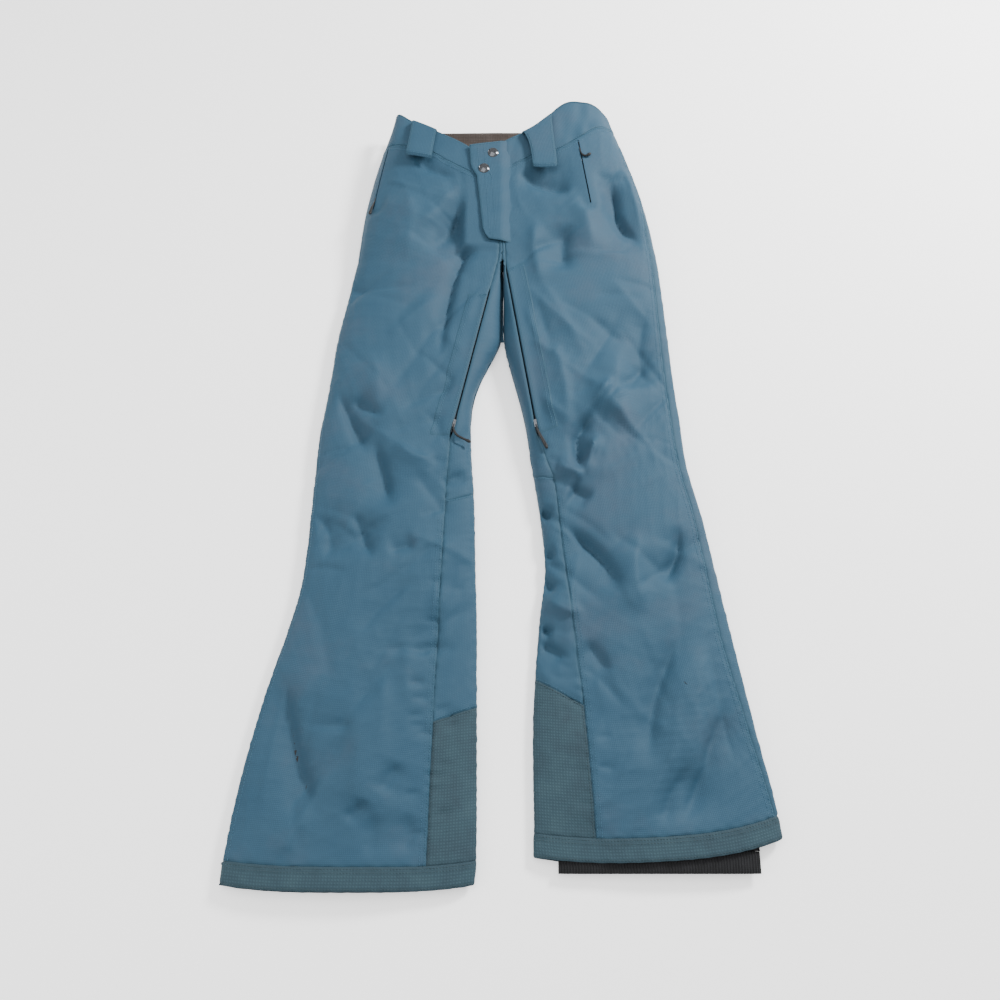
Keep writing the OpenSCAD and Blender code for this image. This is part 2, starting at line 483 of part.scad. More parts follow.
vent_mesh(RIGHT);  // vent_mesh_right
gaiter(LEFT);  // gaiter_left
gaiter(RIGHT);  // gaiter_right
gripper(LEFT);  // gaiter_gripper_left
gripper(RIGHT);  // gaiter_gripper_right
lace_hook(LEFT);  // lace_hook_left
lace_hook(RIGHT);  // lace_hook_right
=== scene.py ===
"""Ski pants laid flat on their back: sewn panels with folds, stitching, zips, snaps and boot gaiters."""
import json
import math

import bpy
import numpy as np
from mathutils import Matrix, Vector


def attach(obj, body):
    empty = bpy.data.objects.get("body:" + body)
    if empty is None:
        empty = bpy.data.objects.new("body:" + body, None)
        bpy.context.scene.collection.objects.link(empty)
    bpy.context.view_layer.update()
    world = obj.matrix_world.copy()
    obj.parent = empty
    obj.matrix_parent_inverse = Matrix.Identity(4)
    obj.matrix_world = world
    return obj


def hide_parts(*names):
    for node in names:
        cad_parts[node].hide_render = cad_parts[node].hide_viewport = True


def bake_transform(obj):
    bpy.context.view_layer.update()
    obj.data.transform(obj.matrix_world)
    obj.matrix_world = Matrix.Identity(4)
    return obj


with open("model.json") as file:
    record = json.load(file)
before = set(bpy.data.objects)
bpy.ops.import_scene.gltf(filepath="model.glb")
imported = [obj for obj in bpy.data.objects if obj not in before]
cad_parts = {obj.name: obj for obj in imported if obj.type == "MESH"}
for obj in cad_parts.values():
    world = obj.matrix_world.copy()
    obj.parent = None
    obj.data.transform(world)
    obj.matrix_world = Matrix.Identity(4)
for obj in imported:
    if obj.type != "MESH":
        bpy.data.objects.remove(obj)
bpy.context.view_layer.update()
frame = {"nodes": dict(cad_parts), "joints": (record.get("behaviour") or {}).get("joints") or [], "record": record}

MM = 0.001  # the shapes below are worked out in millimetres
LEFT, RIGHT = 1, -1  # the wearer's sides; the wearer's left is +X
NAME = {LEFT: "left", RIGHT: "right"}

# --- how the garment lies: the pattern's own sizes, in millimetres, as the CAD model has them ---
# [y, distance of the inner fold, of the outer fold] from the centre line
OUTLINE = {
    LEFT: [[-520, 31, 293], [-448, 32, 292], [-348, 33, 276], [-224, 42, 257], [-164, 49, 248],
           [-101, 45, 239], [-34, 36, 226], [35, 27, 221], [100, 12, 217], [148, 2.2, 215], [256, 2.2, 210],
           [270, 0.3, 209], [360, 0.3, 196], [440, 0.3, 176], [516, 0.3, 150]],
    RIGHT: [[-520, 31, 292], [-484, 27, 291], [-401, 27, 281], [-316, 28, 265], [-230, 29, 243],
            [-176, 31, 233], [-75, 34, 229], [7, 39, 227], [63, 36, 221], [110, 19, 217], [148, 2.2, 214],
            [256, 2.2, 197], [270, 0.3, 195], [352, 0.3, 188], [440, 0.3, 172], [516, 0.3, 151]],
}
CROWN = [[-520, 19], [-400, 22], [-200, 26], [0, 29], [150, 33], [262, 38], [289, 40], [516, 64.7]]
SEAM = {LEFT: [[-520, 98], [-465, 97], [-325, 89], [-52, 62], [2, 44], [246, 5.5], [300, 3]],
        RIGHT: [[-520, 80], [-343, 76], [-80, 68], [2, 64], [217, 16], [262, 5.5], [300, 3]]}
SEAM_HEIGHT = [[-520, 14], [-300, 18], [-60, 22.5], [0, 25], [262, 36], [300, 40.5], [516, 64]]
OUTSEAM = {LEFT: [[-520, 0.92], [-437, 0.91], [-251, 0.835], [-79, 0.845], [29, 0.84], [260, 0.86],
                  [516, 0.9]],
           RIGHT: [[-520, 0.97], [516, 0.97]]}
WAIST_SEAM = {LEFT: [[0, 395], [13, 406], [43, 425], [79, 433], [103, 450], [130, 473], [174, 488]],
              RIGHT: [[0, 388], [36, 392], [77, 415], [94, 427], [132, 441], [175, 458]]}
# [share of the way to the side, distance from the centre line, y, height]
WAIST_EDGE = {
    LEFT: [[0, 3.4, 446, 58], [0.16, 43, 470, 59], [0.26, 63, 487, 61], [0.36, 78, 504, 62],
           [0.48, 97, 514, 62], [0.64, 124, 516, 56], [0.78, 142, 512, 45], [0.9, 151, 507, 32],
           [1, 153, 504, 23]],
    RIGHT: [[0, 0.3, 440, 55.8], [0.2, 32, 431, 54.6], [0.34, 54, 445, 55], [0.56, 93, 471, 52],
            [0.76, 127, 493, 48], [0.9, 148, 510, 42], [1, 153, 506, 24]],
}
KICK_TOP = {LEFT: (-295, -325), RIGHT: (-326, -343)}
KNEE = {LEFT: (-44, -52), RIGHT: (-66, -80)}
VENT = {LEFT: (14, 240), RIGHT: (14, 205)}
POCKET = {LEFT: (0.6, 350, 444), RIGHT: (0.925, 350, 444)}
FOLD_HEIGHT = 7  # height of the cloth's folded edges
EDGE_POWER = 2.6
HEM = 24
SLIT = 0.85  # half of the gap between the lips of a vent
MOUTH = 1.5  # the same where the slider rests
LIP = 0.9  # how far the lips stand over the zip
FLY_FOOT, FLY_FOOT_HEIGHT = 289, 40  # y of the fly flap's lower end, and the height of the cloth there
FLY_RISE = 24.7 / 227
FLAP_GAP, FLAP_THICK = 2, 1.5
SNAPS = ((-12.7, 424), (-24.7, 399))
CLOTH = 1.4
LOOP_GAP = 6.5
LOOP_THICK = 1.8
FLAT_BACK, TURN_UP = 0.72, 0.28  # shares of the back's half width that lie flat and that turn up to the fold
HEM_SEAM = 0.32  # where the inner seam meets the hem, as a share of the way round the front

# --- folds: (points along the fold, half width, height), ridges up and valleys down, in millimetres ---
FOLDS = [
    ([(-35, 370), (-58, 335), (-98, 270)], 16, -7),
    ([(-34, 350), (-40, 304), (-54, 258), (-68, 215), (-82, 95)], 7, -5),
    ([(-130, 380), (-120, 320), (-125, 250)], 26, 4), ([(-60, 380), (-85, 330), (-120, 300)], 12, 3),
    ([(-190, 55), (-165, 40), (-145, 28)], 9, -5), ([(-207, 68), (-180, 10), (-163, -26)], 9, -5.5),
    ([(-158, 4), (-141, -49), (-133, -96)], 10, -5), ([(-176, -95), (-163, -133), (-150, -158)], 7, -4),
    ([(-135, -148), (-98, -137)], 8, -3), ([(-132, -6), (-104, -30), (-80, -28)], 9, 3.5),
    ([(-170, 130), (-150, 70), (-160, 10)], 20, 3.5),
    ([(-242, -280), (-232, -341), (-220, -389), (-190, -450)], 14, -6),
    ([(-132, -420), (-112, -385)], 9, -2.5), ([(-166, -448), (-144, -424)], 8, -2.5),
    ([(-137, -438), (-139, -490)], 8, -2), ([(-96, -438), (-99, -484)], 8, -2),
    ([(-218, -349), (-155, -349)], 7, -1.6), ([(-150, -263), (-40, -263)], 7, -1.8),
    ([(-175, -300), (-150, -380), (-160, -460)], 26, 3), ([(-228, -95), (-200, -120), (-205, -160)], 12, -4),
    ([(19, 396), (47, 381), (98, 364)], 13, -6), ([(144, 402), (152, 363), (157, 313), (196, 290)], 11, -7),
    ([(88, 316), (79, 272), (88, 240)], 14, -5), ([(118, 380), (112, 320), (125, 262)], 18, 4),
    ([(165, 420), (182, 350), (186, 300)], 12, 3.5), ([(45, 330), (38, 280), (52, 215)], 14, 3.5),
    ([(125, 54), (92, 10), (89, -12), (98, -62)], 9, -7), ([(98, -58), (114, 8)], 9, 4),
    ([(139, 85), (98, 10)], 9, 5), ([(61, -38), (81, -45), (102, -58)], 8, 4),
    ([(78, -62), (109, -79)], 8, -4), ([(72, -112), (111, -144), (129, -179), (142, -206)], 10, -6),
    ([(208, -112), (207, -150), (184, -190)], 9, -5),
    ([(198, -236), (187, -273), (170, -312), (161, -345), (157, -398)], 12, -5),
    ([(249, -322), (224, -361), (214, -397), (194, -436), (190, -462)], 12, -5),
    ([(204, -385), (173, -421), (165, -460)], 9, -3), ([(40, -166), (51, -178), (60, -198)], 7, -4),
    ([(40, -250), (74, -274)], 8, -4), ([(92, -250), (123, -290)], 9, -3.5),
    ([(45, -200), (75, -225), (95, -215)], 9, 3), ([(160, -120), (150, -180), (165, -225)], 16, 4),
    ([(150, 130), (140, 60), (160, 0)], 20, 4), ([(190, 200), (170, 120), (185, 60)], 16, -4),
    ([(60, 150), (85, 60), (75, 10)], 13, 3), ([(230, -250), (205, -330), (215, -420)], 22, 3),
    ([(110, -330), (95, -400), (105, -470)], 18, 2.5), ([(-60, -120), (-75, -180), (-60, -240)], 13, 2.5),
    ([(46, -92), (60, -99)], 5, -4), ([(45, -148), (62, -150)], 5, -4), ([(43, -237), (58, -240)], 5, -4),
    ([(-40, 20), (-60, -10)], 7, -3), ([(-45, -40), (-75, -60)], 8, -2.5),
    ([(-190, 420), (-178, 380), (-184, 330)], 10, -3), ([(-120, 425), (-100, 395), (-60, 390)], 8, -2.5),
]
# Darts and other narrow seams inside a panel
DARTS = [[(-224, -20), (-206, -14), (-172, -12)], [(150, 6), (165, 1), (186, 0), (209, -7)]]


# --- numbers along a table ---
def ease(t):
    t = np.clip(t, 0, 1)
    return t * t * (3 - 2 * t)


def mix(a, b, t):
    return a + (b - a) * t


def curve(table, key, k=1):
    """A smooth curve through the table's points."""
    t = np.asarray(table, float)
    y, v = t[:, 0], t[:, k]
    m = np.gradient(v, y)
    m[1:-1] = (v[2:] - v[:-2]) / (y[2:] - y[:-2])
    key = np.clip(key, y[0], y[-1])
    i = np.clip(np.searchsorted(y, key, side="right") - 1, 0, len(y) - 2)
    w = y[i + 1] - y[i]
    s = (key - y[i]) / w
    return ((2 * s**3 - 3 * s**2 + 1) * v[i] + (s**3 - 2 * s**2 + s) * m[i] * w
            + (3 * s**2 - 2 * s**3) * v[i + 1] + (s**3 - s**2) * m[i + 1] * w)


def line(table, key):
    t = np.asarray(table, float)
    return np.interp(key, t[:, 0], t[:, 1])


# --- the lie of the body, as in the CAD model ---
def inner_x(side, y):
    return np.maximum(0.0, curve(OUTLINE[side], y, 1) - 0.31 * ease((y - 256) / 12))


def outer_x(side, y):
    return curve(OUTLINE[side], y, 2)


def across(a):
    return (1 - np.cos(np.pi * a)) / 2


def share_across(side, y, x):
    """How far x lies from the inner fold towards the outer one, as a share of the straight distance."""
    return (np.abs(x) - inner_x(side, y)) / (outer_x(side, y) - inner_x(side, y))


def share_of(side, y, x):
    """The same place as a share of the way round the front: 0 at the inner fold, 1 at the outer one."""
    return np.arccos(1 - 2 * np.clip(share_across(side, y, x), 0, 1)) / np.pi


def above_thigh(y):
    """0 on the legs, 1 from the crotch up, where the inner fold becomes the centre seam."""
    return ease((y - 170) / 90)


def turned_up(u):
    """0 on the flat of the back, rising to 1 at either side."""
    q = np.clip((np.abs(u) - FLAT_BACK) / TURN_UP, 0, 1)
    return 1 - np.sqrt(1 - q * q)


def front_z(side, y, s):
    """Height of the front at a share s across, before its folds: the inner lap, the rise, then the fall."""
    h, zs = line(CROWN, y), line(SEAM_HEIGHT, y)
    zi = mix(FOLD_HEIGHT, zs, above_thigh(y))
    xs = np.maximum(0.004, share_across(side, y, line(SEAM[side], y)))
    lap = zi + (zs - zi) * np.clip(1 - np.clip(1 - s / xs, 0, 1) ** 2.2, 0, 1) ** (1 / 2.2)
    rise = zs + (h - zs) * np.sin(np.pi / 2 * np.clip((s - xs) / (0.5 - xs), 0, 1))
    dome = np.clip(1 - np.abs(2 * s - 1) ** EDGE_POWER, 0, 1) ** (1 / EDGE_POWER)
    fall = FOLD_HEIGHT + (h - FOLD_HEIGHT) * dome
    return np.where(s < xs, lap, np.where(s < 0.5, rise, fall))


def back_z(side, y, s):
    return FOLD_HEIGHT * turned_up(2 * s - 1) * np.where(s < 0.5, 1 - above_thigh(y), 1)


def body_point(side, a, y):
    """A point of the body at a share a of the way round: 0 to 1 over the front, 1 to 2 back underneath."""
    s = across(a)
    x = mix(inner_x(side, y), outer_x(side, y), s)
    z = np.where(a <= 1, front_z(side, y, s), back_z(side, y, s))
    return np.stack([side * x, y, z], -1)


def fly_height(y):
    return FLY_FOOT_HEIGHT + (y - FLY_FOOT) * FLY_RISE


# --- folds pressed into the front ---
def length_of(points):
    return sum(math.dist(p, q) for p, q in zip(points, points[1:]))


def near_line(points, x, y):
    """Distance from a line, how far along it from the nearer end, and the side it lies on (-1 or 1)."""
    best = np.full(np.shape(x), 1e9)
    place, hand = np.zeros(np.shape(x)), np.zeros(np.shape(x))
    done = 0.0
    for (px, py), (qx, qy) in zip(points, points[1:]):
        length = math.dist((px, py), (qx, qy))
        t = np.clip(((x - px) * (qx - px) + (y - py) * (qy - py)) / length**2, 0, 1)
        d = np.hypot(x - px - t * (qx - px), y - py - t * (qy - py))
        place = np.where(d < best, done + t * length, place)
        hand = np.where(d < best, np.sign((qx - px) * (y - py) - (qy - py) * (x - px)), hand)
        best = np.minimum(best, d)
        done += length
    return best, np.minimum(place, length_of(points) - place), hand


def smooth_points(points):
    """The same line with its corners rounded."""
    if len(points) < 3:
        return points
    out = [points[0]]
    for (ax, ay), (bx, by), (cx, cy) in zip(points, points[1:], points[2:]):
        out += [(mix(ax, bx, 0.7), mix(ay, by, 0.7)), (mix(bx, cx, 0.3), mix(by, cy, 0.3))]
    return out + [points[-1]]


def small_folds():
    """Creases too small to list: whiskers at the crotch, pulls round the knees, long ones down the calves."""
    rng = np.random.default_rng(23)
    out = []
    for side in (LEFT, RIGHT):
        for _ in range(60):
            y = rng.uniform(-470, 430)
            share = rng.uniform(0.12, 0.93)
            x = side * mix(inner_x(side, y), outer_x(side, y), share)
            if y > 150:
                angle = math.atan2(y - 262, x) + rng.normal(0, 0.3)
            elif y > -190:
                angle = rng.choice([-1, 1]) * rng.uniform(0.35, 0.95) * math.pi / 2 * 0.7
                angle += rng.normal(0, 0.15)
            else:
                angle = math.pi / 2 + side * 0.12 + rng.normal(0, 0.35)
            length, width = rng.uniform(55, 190), rng.uniform(4, 9)
            height = width * rng.uniform(0.1, 0.24) * rng.choice([-1, 1], p=[0.6, 0.4])
            dx, dy = math.cos(angle) * length / 2, math.sin(angle) * length / 2
            bend = rng.normal(0, 0.12) * length
            middle = (x + dy / length * bend, y - dx / length * bend)
            out.append(([(x - dx, y - dy), middle, (x + dx, y + dy)], width, height))
        for _ in range(26):  # puckers along the inner seam
            y = rng.uniform(-480, 0)
            x = side * (line(SEAM[side], y) + rng.choice([-1, 1]) * rng.uniform(4, 22))
            tilt = rng.normal(0, 3)
            out.append(([(x - 11, y + tilt), (x + 11, y)], rng.uniform(2.5, 4.5), -rng.uniform(0.5, 1.1)))
    return out


SMALL_FOLDS = small_folds()
FOLD_GAIN = 2.3  # how much stronger the folds are pressed than their tables say


def fold_height(x, y):
    """Every fold's height at a place, each steep on one side, gentle on the other and tapered at its ends."""
    total = np.zeros(np.shape(x))
    for points, width, height in FOLDS + SMALL_FOLDS:
        path = smooth_points(smooth_points(points))
        xs, ys = zip(*path)
        m = 5 * width
        close = (x > min(xs) - m) & (x < max(xs) + m) & (y > min(ys) - m) & (y < max(ys) + m)
        if not close.any():
            continue
        d, end, hand = near_line(path, x[close], y[close])
        steep = 1 if (points[0][0] * 7 + points[0][1] * 3) % 2 < 1 else -1
        t = d / width
        sharp = np.exp(-1.5 * t ** 1.15)
        gentle = (1 - ease((t - 1.8) / 3.1)) / (1 + (t / 1.3) ** 1.9)
        taper = ease(np.minimum(1, end / max(1.0, 0.33 * length_of(path))))
        total[close] += FOLD_GAIN * height * np.where(hand == steep, sharp, gentle) * taper
    return total


def vent_span(side):
    low, high = VENT[side]
    return [(side * line(SEAM[side], low), low), (side * line(SEAM[side], high), high)]


def pocket_span(side):
    f, low, high = POCKET[side]
    return [(side * f * outer_x(side, low), low), (side * f * outer_x(side, high), high)]


def firm(x, y):
    """1 where a zip, the fly or the hem holds the cloth to its shape, 0 on the open cloth."""
    held = np.zeros(np.shape(x))
    for side in (LEFT, RIGHT):
        for span, reach in ((vent_span(side), 8), (pocket_span(side), 8)):
            d = near_line(span, x, y)[0]
            held = np.maximum(held, 1 - ease((d - reach) / 14))
    fly = np.maximum(np.maximum(-48 - x, x - 6), 286 - y)
    return np.maximum(held, 1 - ease(fly / 14))


# --- each leg's grid of cloth: rows up the leg, columns round it ---
def hem_line(side, s):
    if side == LEFT:
        return -489 + 7 * np.abs(2 * s - 1) ** 3 + 18 * s**3
    return -516 + 7 * np.abs(2 * s - 1) ** 3


HEM_ROWS = 3
KICK_ROW, KNEE_ROW, TOP_ROW = 24, 58, 116
INNER_COLUMNS, FRONT_COLUMNS, SIDE_COLUMNS, BACK_COLUMNS = 8, 26, 9, 28


BACK_WAIST = 449
WAIST_HALF = 174  # half width of the front at the waist seam
BACK_CORNERS = {LEFT: 40, RIGHT: 12}
BACK_HALF = 164  # half width of the back at the waist
WAIST_LAP = 0.8  # how far the panels run up under the waistband


def waist_at(side, a):
    """Height up the body of the waist seam at a place round the front."""
    y = line(WAIST_SEAM[side], WAIST_HALF * across(a))
    return line(WAIST_SEAM[side], outer_x(side, y) * across(a))


def back_waist_at(x, side):
    return BACK_WAIST + BACK_CORNERS[side] * (x / BACK_HALF) ** 4


def slit_at(side, y):
    low, high = VENT[side]
    mouth = ease((y - low + 12) / 10) * ease((low + 24 - y) / 14)
    return (SLIT + (MOUTH - SLIT) * mouth) * ease((y - low + 16) / 12) * ease((high + 16 - y) / 12)


def inner_rows(side, s):
    """y of each row at share s across the inner panels."""
    keys = [0, HEM_ROWS, KICK_ROW, KNEE_ROW, TOP_ROW]
    kick, knee = KICK_TOP[side], KNEE[side]
    low = hem_line(side, across(s * HEM_SEAM))
    values = [low, low + HEM, mix(*kick, s * s), mix(*knee, s), waist_at(side, 0) + WAIST_LAP]
    return np.interp(np.arange(TOP_ROW + 1), keys, values)


def round_front(start, out, f):
    """Share of the way round for a column: f 0 to 1 from inner to outer seam, 1 to 2 on to the fold."""
    return mix(start, out, f) if f <= 1 else mix(out, 1, f - 1)


def leg_grids(side):
    """Grids of points: inner panels, front panel with the outer strip, and back."""
    seam = lambda y: line(SEAM[side], y)
    places = np.linspace(0, 1, INNER_COLUMNS + 1)
    inner_y = np.stack([inner_rows(side, s) for s in places], 1)
    edge = share_of(side, inner_y, seam(inner_y) - 1.45 * slit_at(side, inner_y))
    inner = body_point(side, places[None, :] * edge, inner_y)

    seam_y = inner_y[:, -1]
    rise = np.clip((seam_y - seam_y[HEM_ROWS]) / (seam_y[-1] - seam_y[HEM_ROWS]), 0, 1)
    rows = np.arange(TOP_ROW + 1)

    def y_at(s_hem, top):
        low = hem_line(side, s_hem)
        return np.where(rows <= HEM_ROWS, low + HEM * rows / HEM_ROWS, low + HEM + (top - low - HEM) * rise)

    strip = 1 + np.linspace(0, 1, SIDE_COLUMNS + 1)[1:]
    columns = []
    for f in np.concatenate([np.linspace(0, 1, FRONT_COLUMNS + 1), strip]):
        place = 0.5
        for _ in range(12):  # the seam's place depends on the waist's height there, so it is closed in on
            top = waist_at(side, place)
            place = round_front(share_of(side, top, seam(top)), line(OUTSEAM[side], top), f)
        hem_place = round_front(HEM_SEAM, line(OUTSEAM[side], -495), f)
        y = y_at(across(hem_place), waist_at(side, place) + WAIST_LAP)
        begin = share_of(side, y, seam(y) + slit_at(side, y))
        columns.append(body_point(side, round_front(begin, line(OUTSEAM[side], y), f), y))
    front = np.stack(columns, 1)

    fold_top = front[-1, -1, 1]
    columns = []
    for f in np.linspace(0, 1, BACK_COLUMNS + 1):
        top = back_waist_at(min(160, 160 * across(1 + f)), side) + 0.1
        y = y_at(across(1 + f), mix(fold_top, top, ease(f * 6)))
        p = body_point(side, np.full_like(y, 1 + f), y)
        p[:, 2] += 7.5 * ease((y - y[-1] + 40) / 40)  # up to the back of the waistband
        columns.append(p)
    back = np.stack(columns, 1)
    back[:, 0] = front[:, -1]
    return inner, front, back


# --- meshes ---
def link(obj):
    bpy.context.scene.collection.objects.link(obj)


def new_object(name, verts, faces, uv=None, values=None):
    mesh = bpy.data.meshes.new(name)
    mesh.from_pydata([tuple(v) for v in (np.asarray(verts) * MM).tolist()], [], faces)
    if uv is not None:
        layer = mesh.uv_layers.new(name="cloth")
        index = np.empty(len(mesh.loops), int)
        mesh.loops.foreach_get("vertex_index", index)
        layer.data.foreach_set("uv", (np.asarray(uv)[index] * MM).astype(np.float32).ravel())
    for key, value in (values or {}).items():
        attribute = mesh.attributes.new(key, "FLOAT", "POINT")
        attribute.data.foreach_set("value", np.asarray(value, np.float32))
    obj = bpy.data.objects.new(name, mesh)
    link(obj)
    mesh.shade_smooth()
    return obj


def select_only(*objects):
    """Selects these alone, with the first one active."""
    for o in bpy.context.selected_objects:
        o.select_set(False)
    for o in objects:
        o.select_set(True)
    bpy.context.view_layer.objects.active = objects[0]


def join(parts, name):
    select_only(*parts)
    bpy.ops.object.join()
    parts[0].name = name
    return parts[0]


def unit(v):
    return v / np.maximum(np.linalg.norm(v, axis=-1, keepdims=True), 1e-9)


def grid_normals(p, side):
    du = np.gradient(p, axis=1)
    dv = np.gradient(p, axis=0)
    return unit(np.cross(du, dv) * side)


def quads(rows, columns, start, flip):
    i, j = np.meshgrid(np.arange(rows - 1), np.arange(columns - 1), indexing="ij")
    a = i * columns + j
    corners = [a, a + 1, a + columns + 1, a + columns]
    return np.stack(corners[::-1] if flip else corners, -1).reshape(-1, 4) + start


def run_of(p, axis):
    """Distance run along each row (axis 1) or column (axis 0) of a grid, from its first point."""
    return np.insert(np.cumsum(np.linalg.norm(np.diff(p, axis=axis), axis=2), axis), 0, 0, axis)


def arc_uv(p):
    """Distances along the rows and up the columns, with every row centred on the same line."""
    u, v = run_of(p, 1), run_of(p, 0)
    return np.stack([u - u[:, -1:] / 2 + u[:, -1:].mean() / 2, v], -1)


def edge_distance(p, edges):
    """Distance in millimetres from the nearest edge named: low, high (rows), first, last (columns)."""
    uv = arc_uv(p)
    u0 = uv[..., 0] - uv[:, :1, 0]
    v0 = uv[..., 1] - uv[:1, :, 1]
    d = np.full(p.shape[:2], 1e3)
    for name, value in (("first", u0), ("last", u0[:, -1:] - u0), ("low", v0), ("high", v0[-1:] - v0)):
        if name in edges:
            d = np.minimum(d, value)
    return d


ALL_EDGES = ("low", "high", "first", "last")


def sheet_mesh(name, p, side, thick=CLOTH, seams=ALL_EDGES, groove=1.0, reach=3.4, lift=0.0):
    """A closed sheet of cloth from its outer face, rolled down at the seams named."""
    n = grid_normals(p, side)
    d = edge_distance(p, seams)
    roll = groove * np.clip(1 - d / reach, 0, 1) ** 2
    outer = p + n * (lift - roll[..., None])
    inner = p + n * (lift - np.maximum(thick, roll + 0.4)[..., None])
    rows, columns = p.shape[:2]
    count = rows * columns
    flip = side == RIGHT
    faces = [quads(rows, columns, 0, flip), quads(rows, columns, count, not flip)]
    ring = np.concatenate([np.arange(columns), np.arange(2, rows) * columns - 1, [count - 1],
                           (rows - 1) * columns + np.arange(columns - 2, -1, -1),
                           np.arange(rows - 2, 0, -1) * columns])
    nxt = np.roll(ring, -1)
    rim = np.stack([ring, ring + count, nxt + count, nxt], -1)
    faces.append(rim[:, ::-1] if flip else rim)
    verts = np.concatenate([outer.reshape(-1, 3), inner.reshape(-1, 3)])
    uv = np.tile(arc_uv(p).reshape(-1, 2), (2, 1))
    # closeness to the rolled edges, where the cloth shaders mix in a darker colour as painted shade in the seam
    # grooves
    seam = np.tile(np.exp(-d / 2.5).ravel(), 2)
    obj = new_object(name, verts, np.concatenate(faces).tolist(), uv, {"seam": seam})
    sharpen(obj)
    return obj


def sharpen(obj, degrees=55):
    select_only(obj)
    bpy.ops.object.shade_smooth_by_angle(angle=math.radians(degrees))


def cubic(p, at, axis):
    """Values of the grid at fractional places along an axis, on a smooth curve through its points."""
    p = np.moveaxis(p, axis, 0)
    last = len(p) - 1
    at = np.clip(np.asarray(at, float), 0, last)
    i = np.clip(np.floor(at).astype(int), 0, last - 1)
    t = (at - i).reshape((-1,) + (1,) * (p.ndim - 1))
    a, b = p[i], p[i + 1]
    ma = np.where((i > 0).reshape(t.shape), (b - p[np.maximum(i - 1, 0)]) / 2, b - a)
    mb = np.where((i < last - 1).reshape(t.shape), (p[np.minimum(i + 2, last)] - a) / 2, b - a)
    out = ((2 * t**3 - 3 * t**2 + 1) * a + (t**3 - 2 * t**2 + t) * ma
           + (3 * t**2 - 2 * t**3) * b + (t**3 - t**2) * mb)
    return np.moveaxis(out, 0, axis)


def steps(low, high, spacing, size, ends=(0.8, 1.8, 3.2)):
    """Fractional places from low to high, size apart in millimetres, with closer ones at both ends."""
    length = (high - low) * spacing
    count = max(2, round((length - 2 * ends[-1]) / size))
    middle = np.linspace(ends[-1], length - ends[-1], count)
    mm = [0, *ends[:-1], *middle, *[length - e for e in ends[-2::-1]], length]
    return low + np.array(mm) / spacing


def refine(p, r0, r1, c0, c1, size):
    part = p[r0:r1 + 1, c0:c1 + 1]
    row_gap = np.linalg.norm(np.diff(part, axis=0), axis=2).mean()
    column_gap = np.linalg.norm(np.diff(part, axis=1), axis=2).mean()
    fine = cubic(p, steps(r0, r1, row_gap, size), 0)
    return cubic(fine, steps(c0, c1, column_gap, size), 1)


def crumple(p, side, amount, edges):
    """Small uneven wrinkles, the dart seams and the lips of the zips, which the coarse grid can't hold."""
    x, y = p[..., 0], p[..., 1]
    rng = np.random.default_rng(11)
    total = np.zeros(x.shape)
    for _ in range(10):
        angle, wave, phase = rng.uniform(0, math.pi), rng.uniform(14, 34), rng.uniform(0, 6.28, 3)
        u = x * math.cos(angle) + y * math.sin(angle)
        v = y * math.cos(angle) - x * math.sin(angle)
        bend = 6 * np.sin(v / 37 + phase[1])
        strength = np.clip(np.sin(u / 90 + v / 61 + phase[2]), 0, 1)
        total += (1 - np.abs(np.sin((u + bend) * math.pi / wave + phase[0]))) ** 3 * strength
    z = amount * (total - 0.6)
    for dart in DARTS:
        d, end, _ = near_line(dart, x, y)
        z = z - 1.0 * np.exp(-(d / 1.6) ** 2) * ease(end / 6)
    loose = 1 - firm(x, y)
    z = z * loose + LIP * np.maximum(lip(pocket_span(LEFT), x, y), lip(pocket_span(RIGHT), x, y))
    z = z + LIP * lip(vent_span(side), x, y)
    beside = np.exp(-(edges / 8) ** 2)  # puckers where a seam gathers the cloth
    z = z + 0.28 * beside * np.sin(y / 1.9 + 2 * np.sin(y / 17) + x / 3.1) * loose
    return p + grid_normals(p, side) * z[..., None]


def lip(span, x, y):
    """1 along a zip, where the cloth stands over it, falling to 0 beside it."""
    return 1 - ease((near_line(span, x, y)[0] - 1) / 9)


def press_folds(p, side):
    """Presses the folds into the front of a grid. Neighbours get the same folds, so seams still meet."""
    x, y, z = p[..., 0], p[..., 1], p[..., 2]
    columns = np.arange(p.shape[1])[None, :]
    front = columns <= np.argmax(np.abs(x), axis=1)[:, None]
    a = share_of(side, y, np.abs(x))
    fade = ease((1 - a) / 0.2) * np.maximum(ease(a / 0.14), ease((y - 190) / 60))
    top, low = waist_at(side, a), hem_line(side, across(a)) + HEM
    fade = fade * ease((top - y) / 24) * (0.12 + 0.88 * ease((y - low) / 26)) * (1 - firm(x, y))
    height = np.maximum(fold_height(x, y) * fade, np.minimum(0, 5.5 - z))
    out = p.copy()
    out[..., 2] += np.where(front, height, 0)
    return out


# --- materials ---
def colour(code):
    """sRGB hex to linear RGBA."""
    rgb = [int(code[i:i + 2], 16) / 255 for i in (1, 3, 5)]
    return (*[c / 12.92 if c <= 0.04045 else ((c + 0.055) / 1.055) ** 2.4 for c in rgb], 1)


def add(tree, kind, inputs=None, **settings):
    """A node with its settings, and its inputs set to values or linked from other nodes' outputs."""
    node = tree.nodes.new(kind)
    for key, value in settings.items():
        setattr(node, key, value)
    for key, value in (inputs or {}).items():
        if isinstance(value, bpy.types.NodeSocket):
            tree.links.new(value, node.inputs[key])
        else:
            node.inputs[key].default_value = value
    return node


def blank(name):
    material = bpy.data.materials.new(name)
    material.use_nodes = True
    tree = material.node_tree
    tree.nodes.clear()
    return material, tree


def ramp(tree, value, stops):
    node = add(tree, "ShaderNodeValToRGB", {"Fac": value})
    points = node.color_ramp.elements
    while len(points) < len(stops):
        points.new(0.5)
    for point, (place, code) in zip(points, stops):
        point.position = place
        point.color = colour(code)
    return node.outputs["Color"]


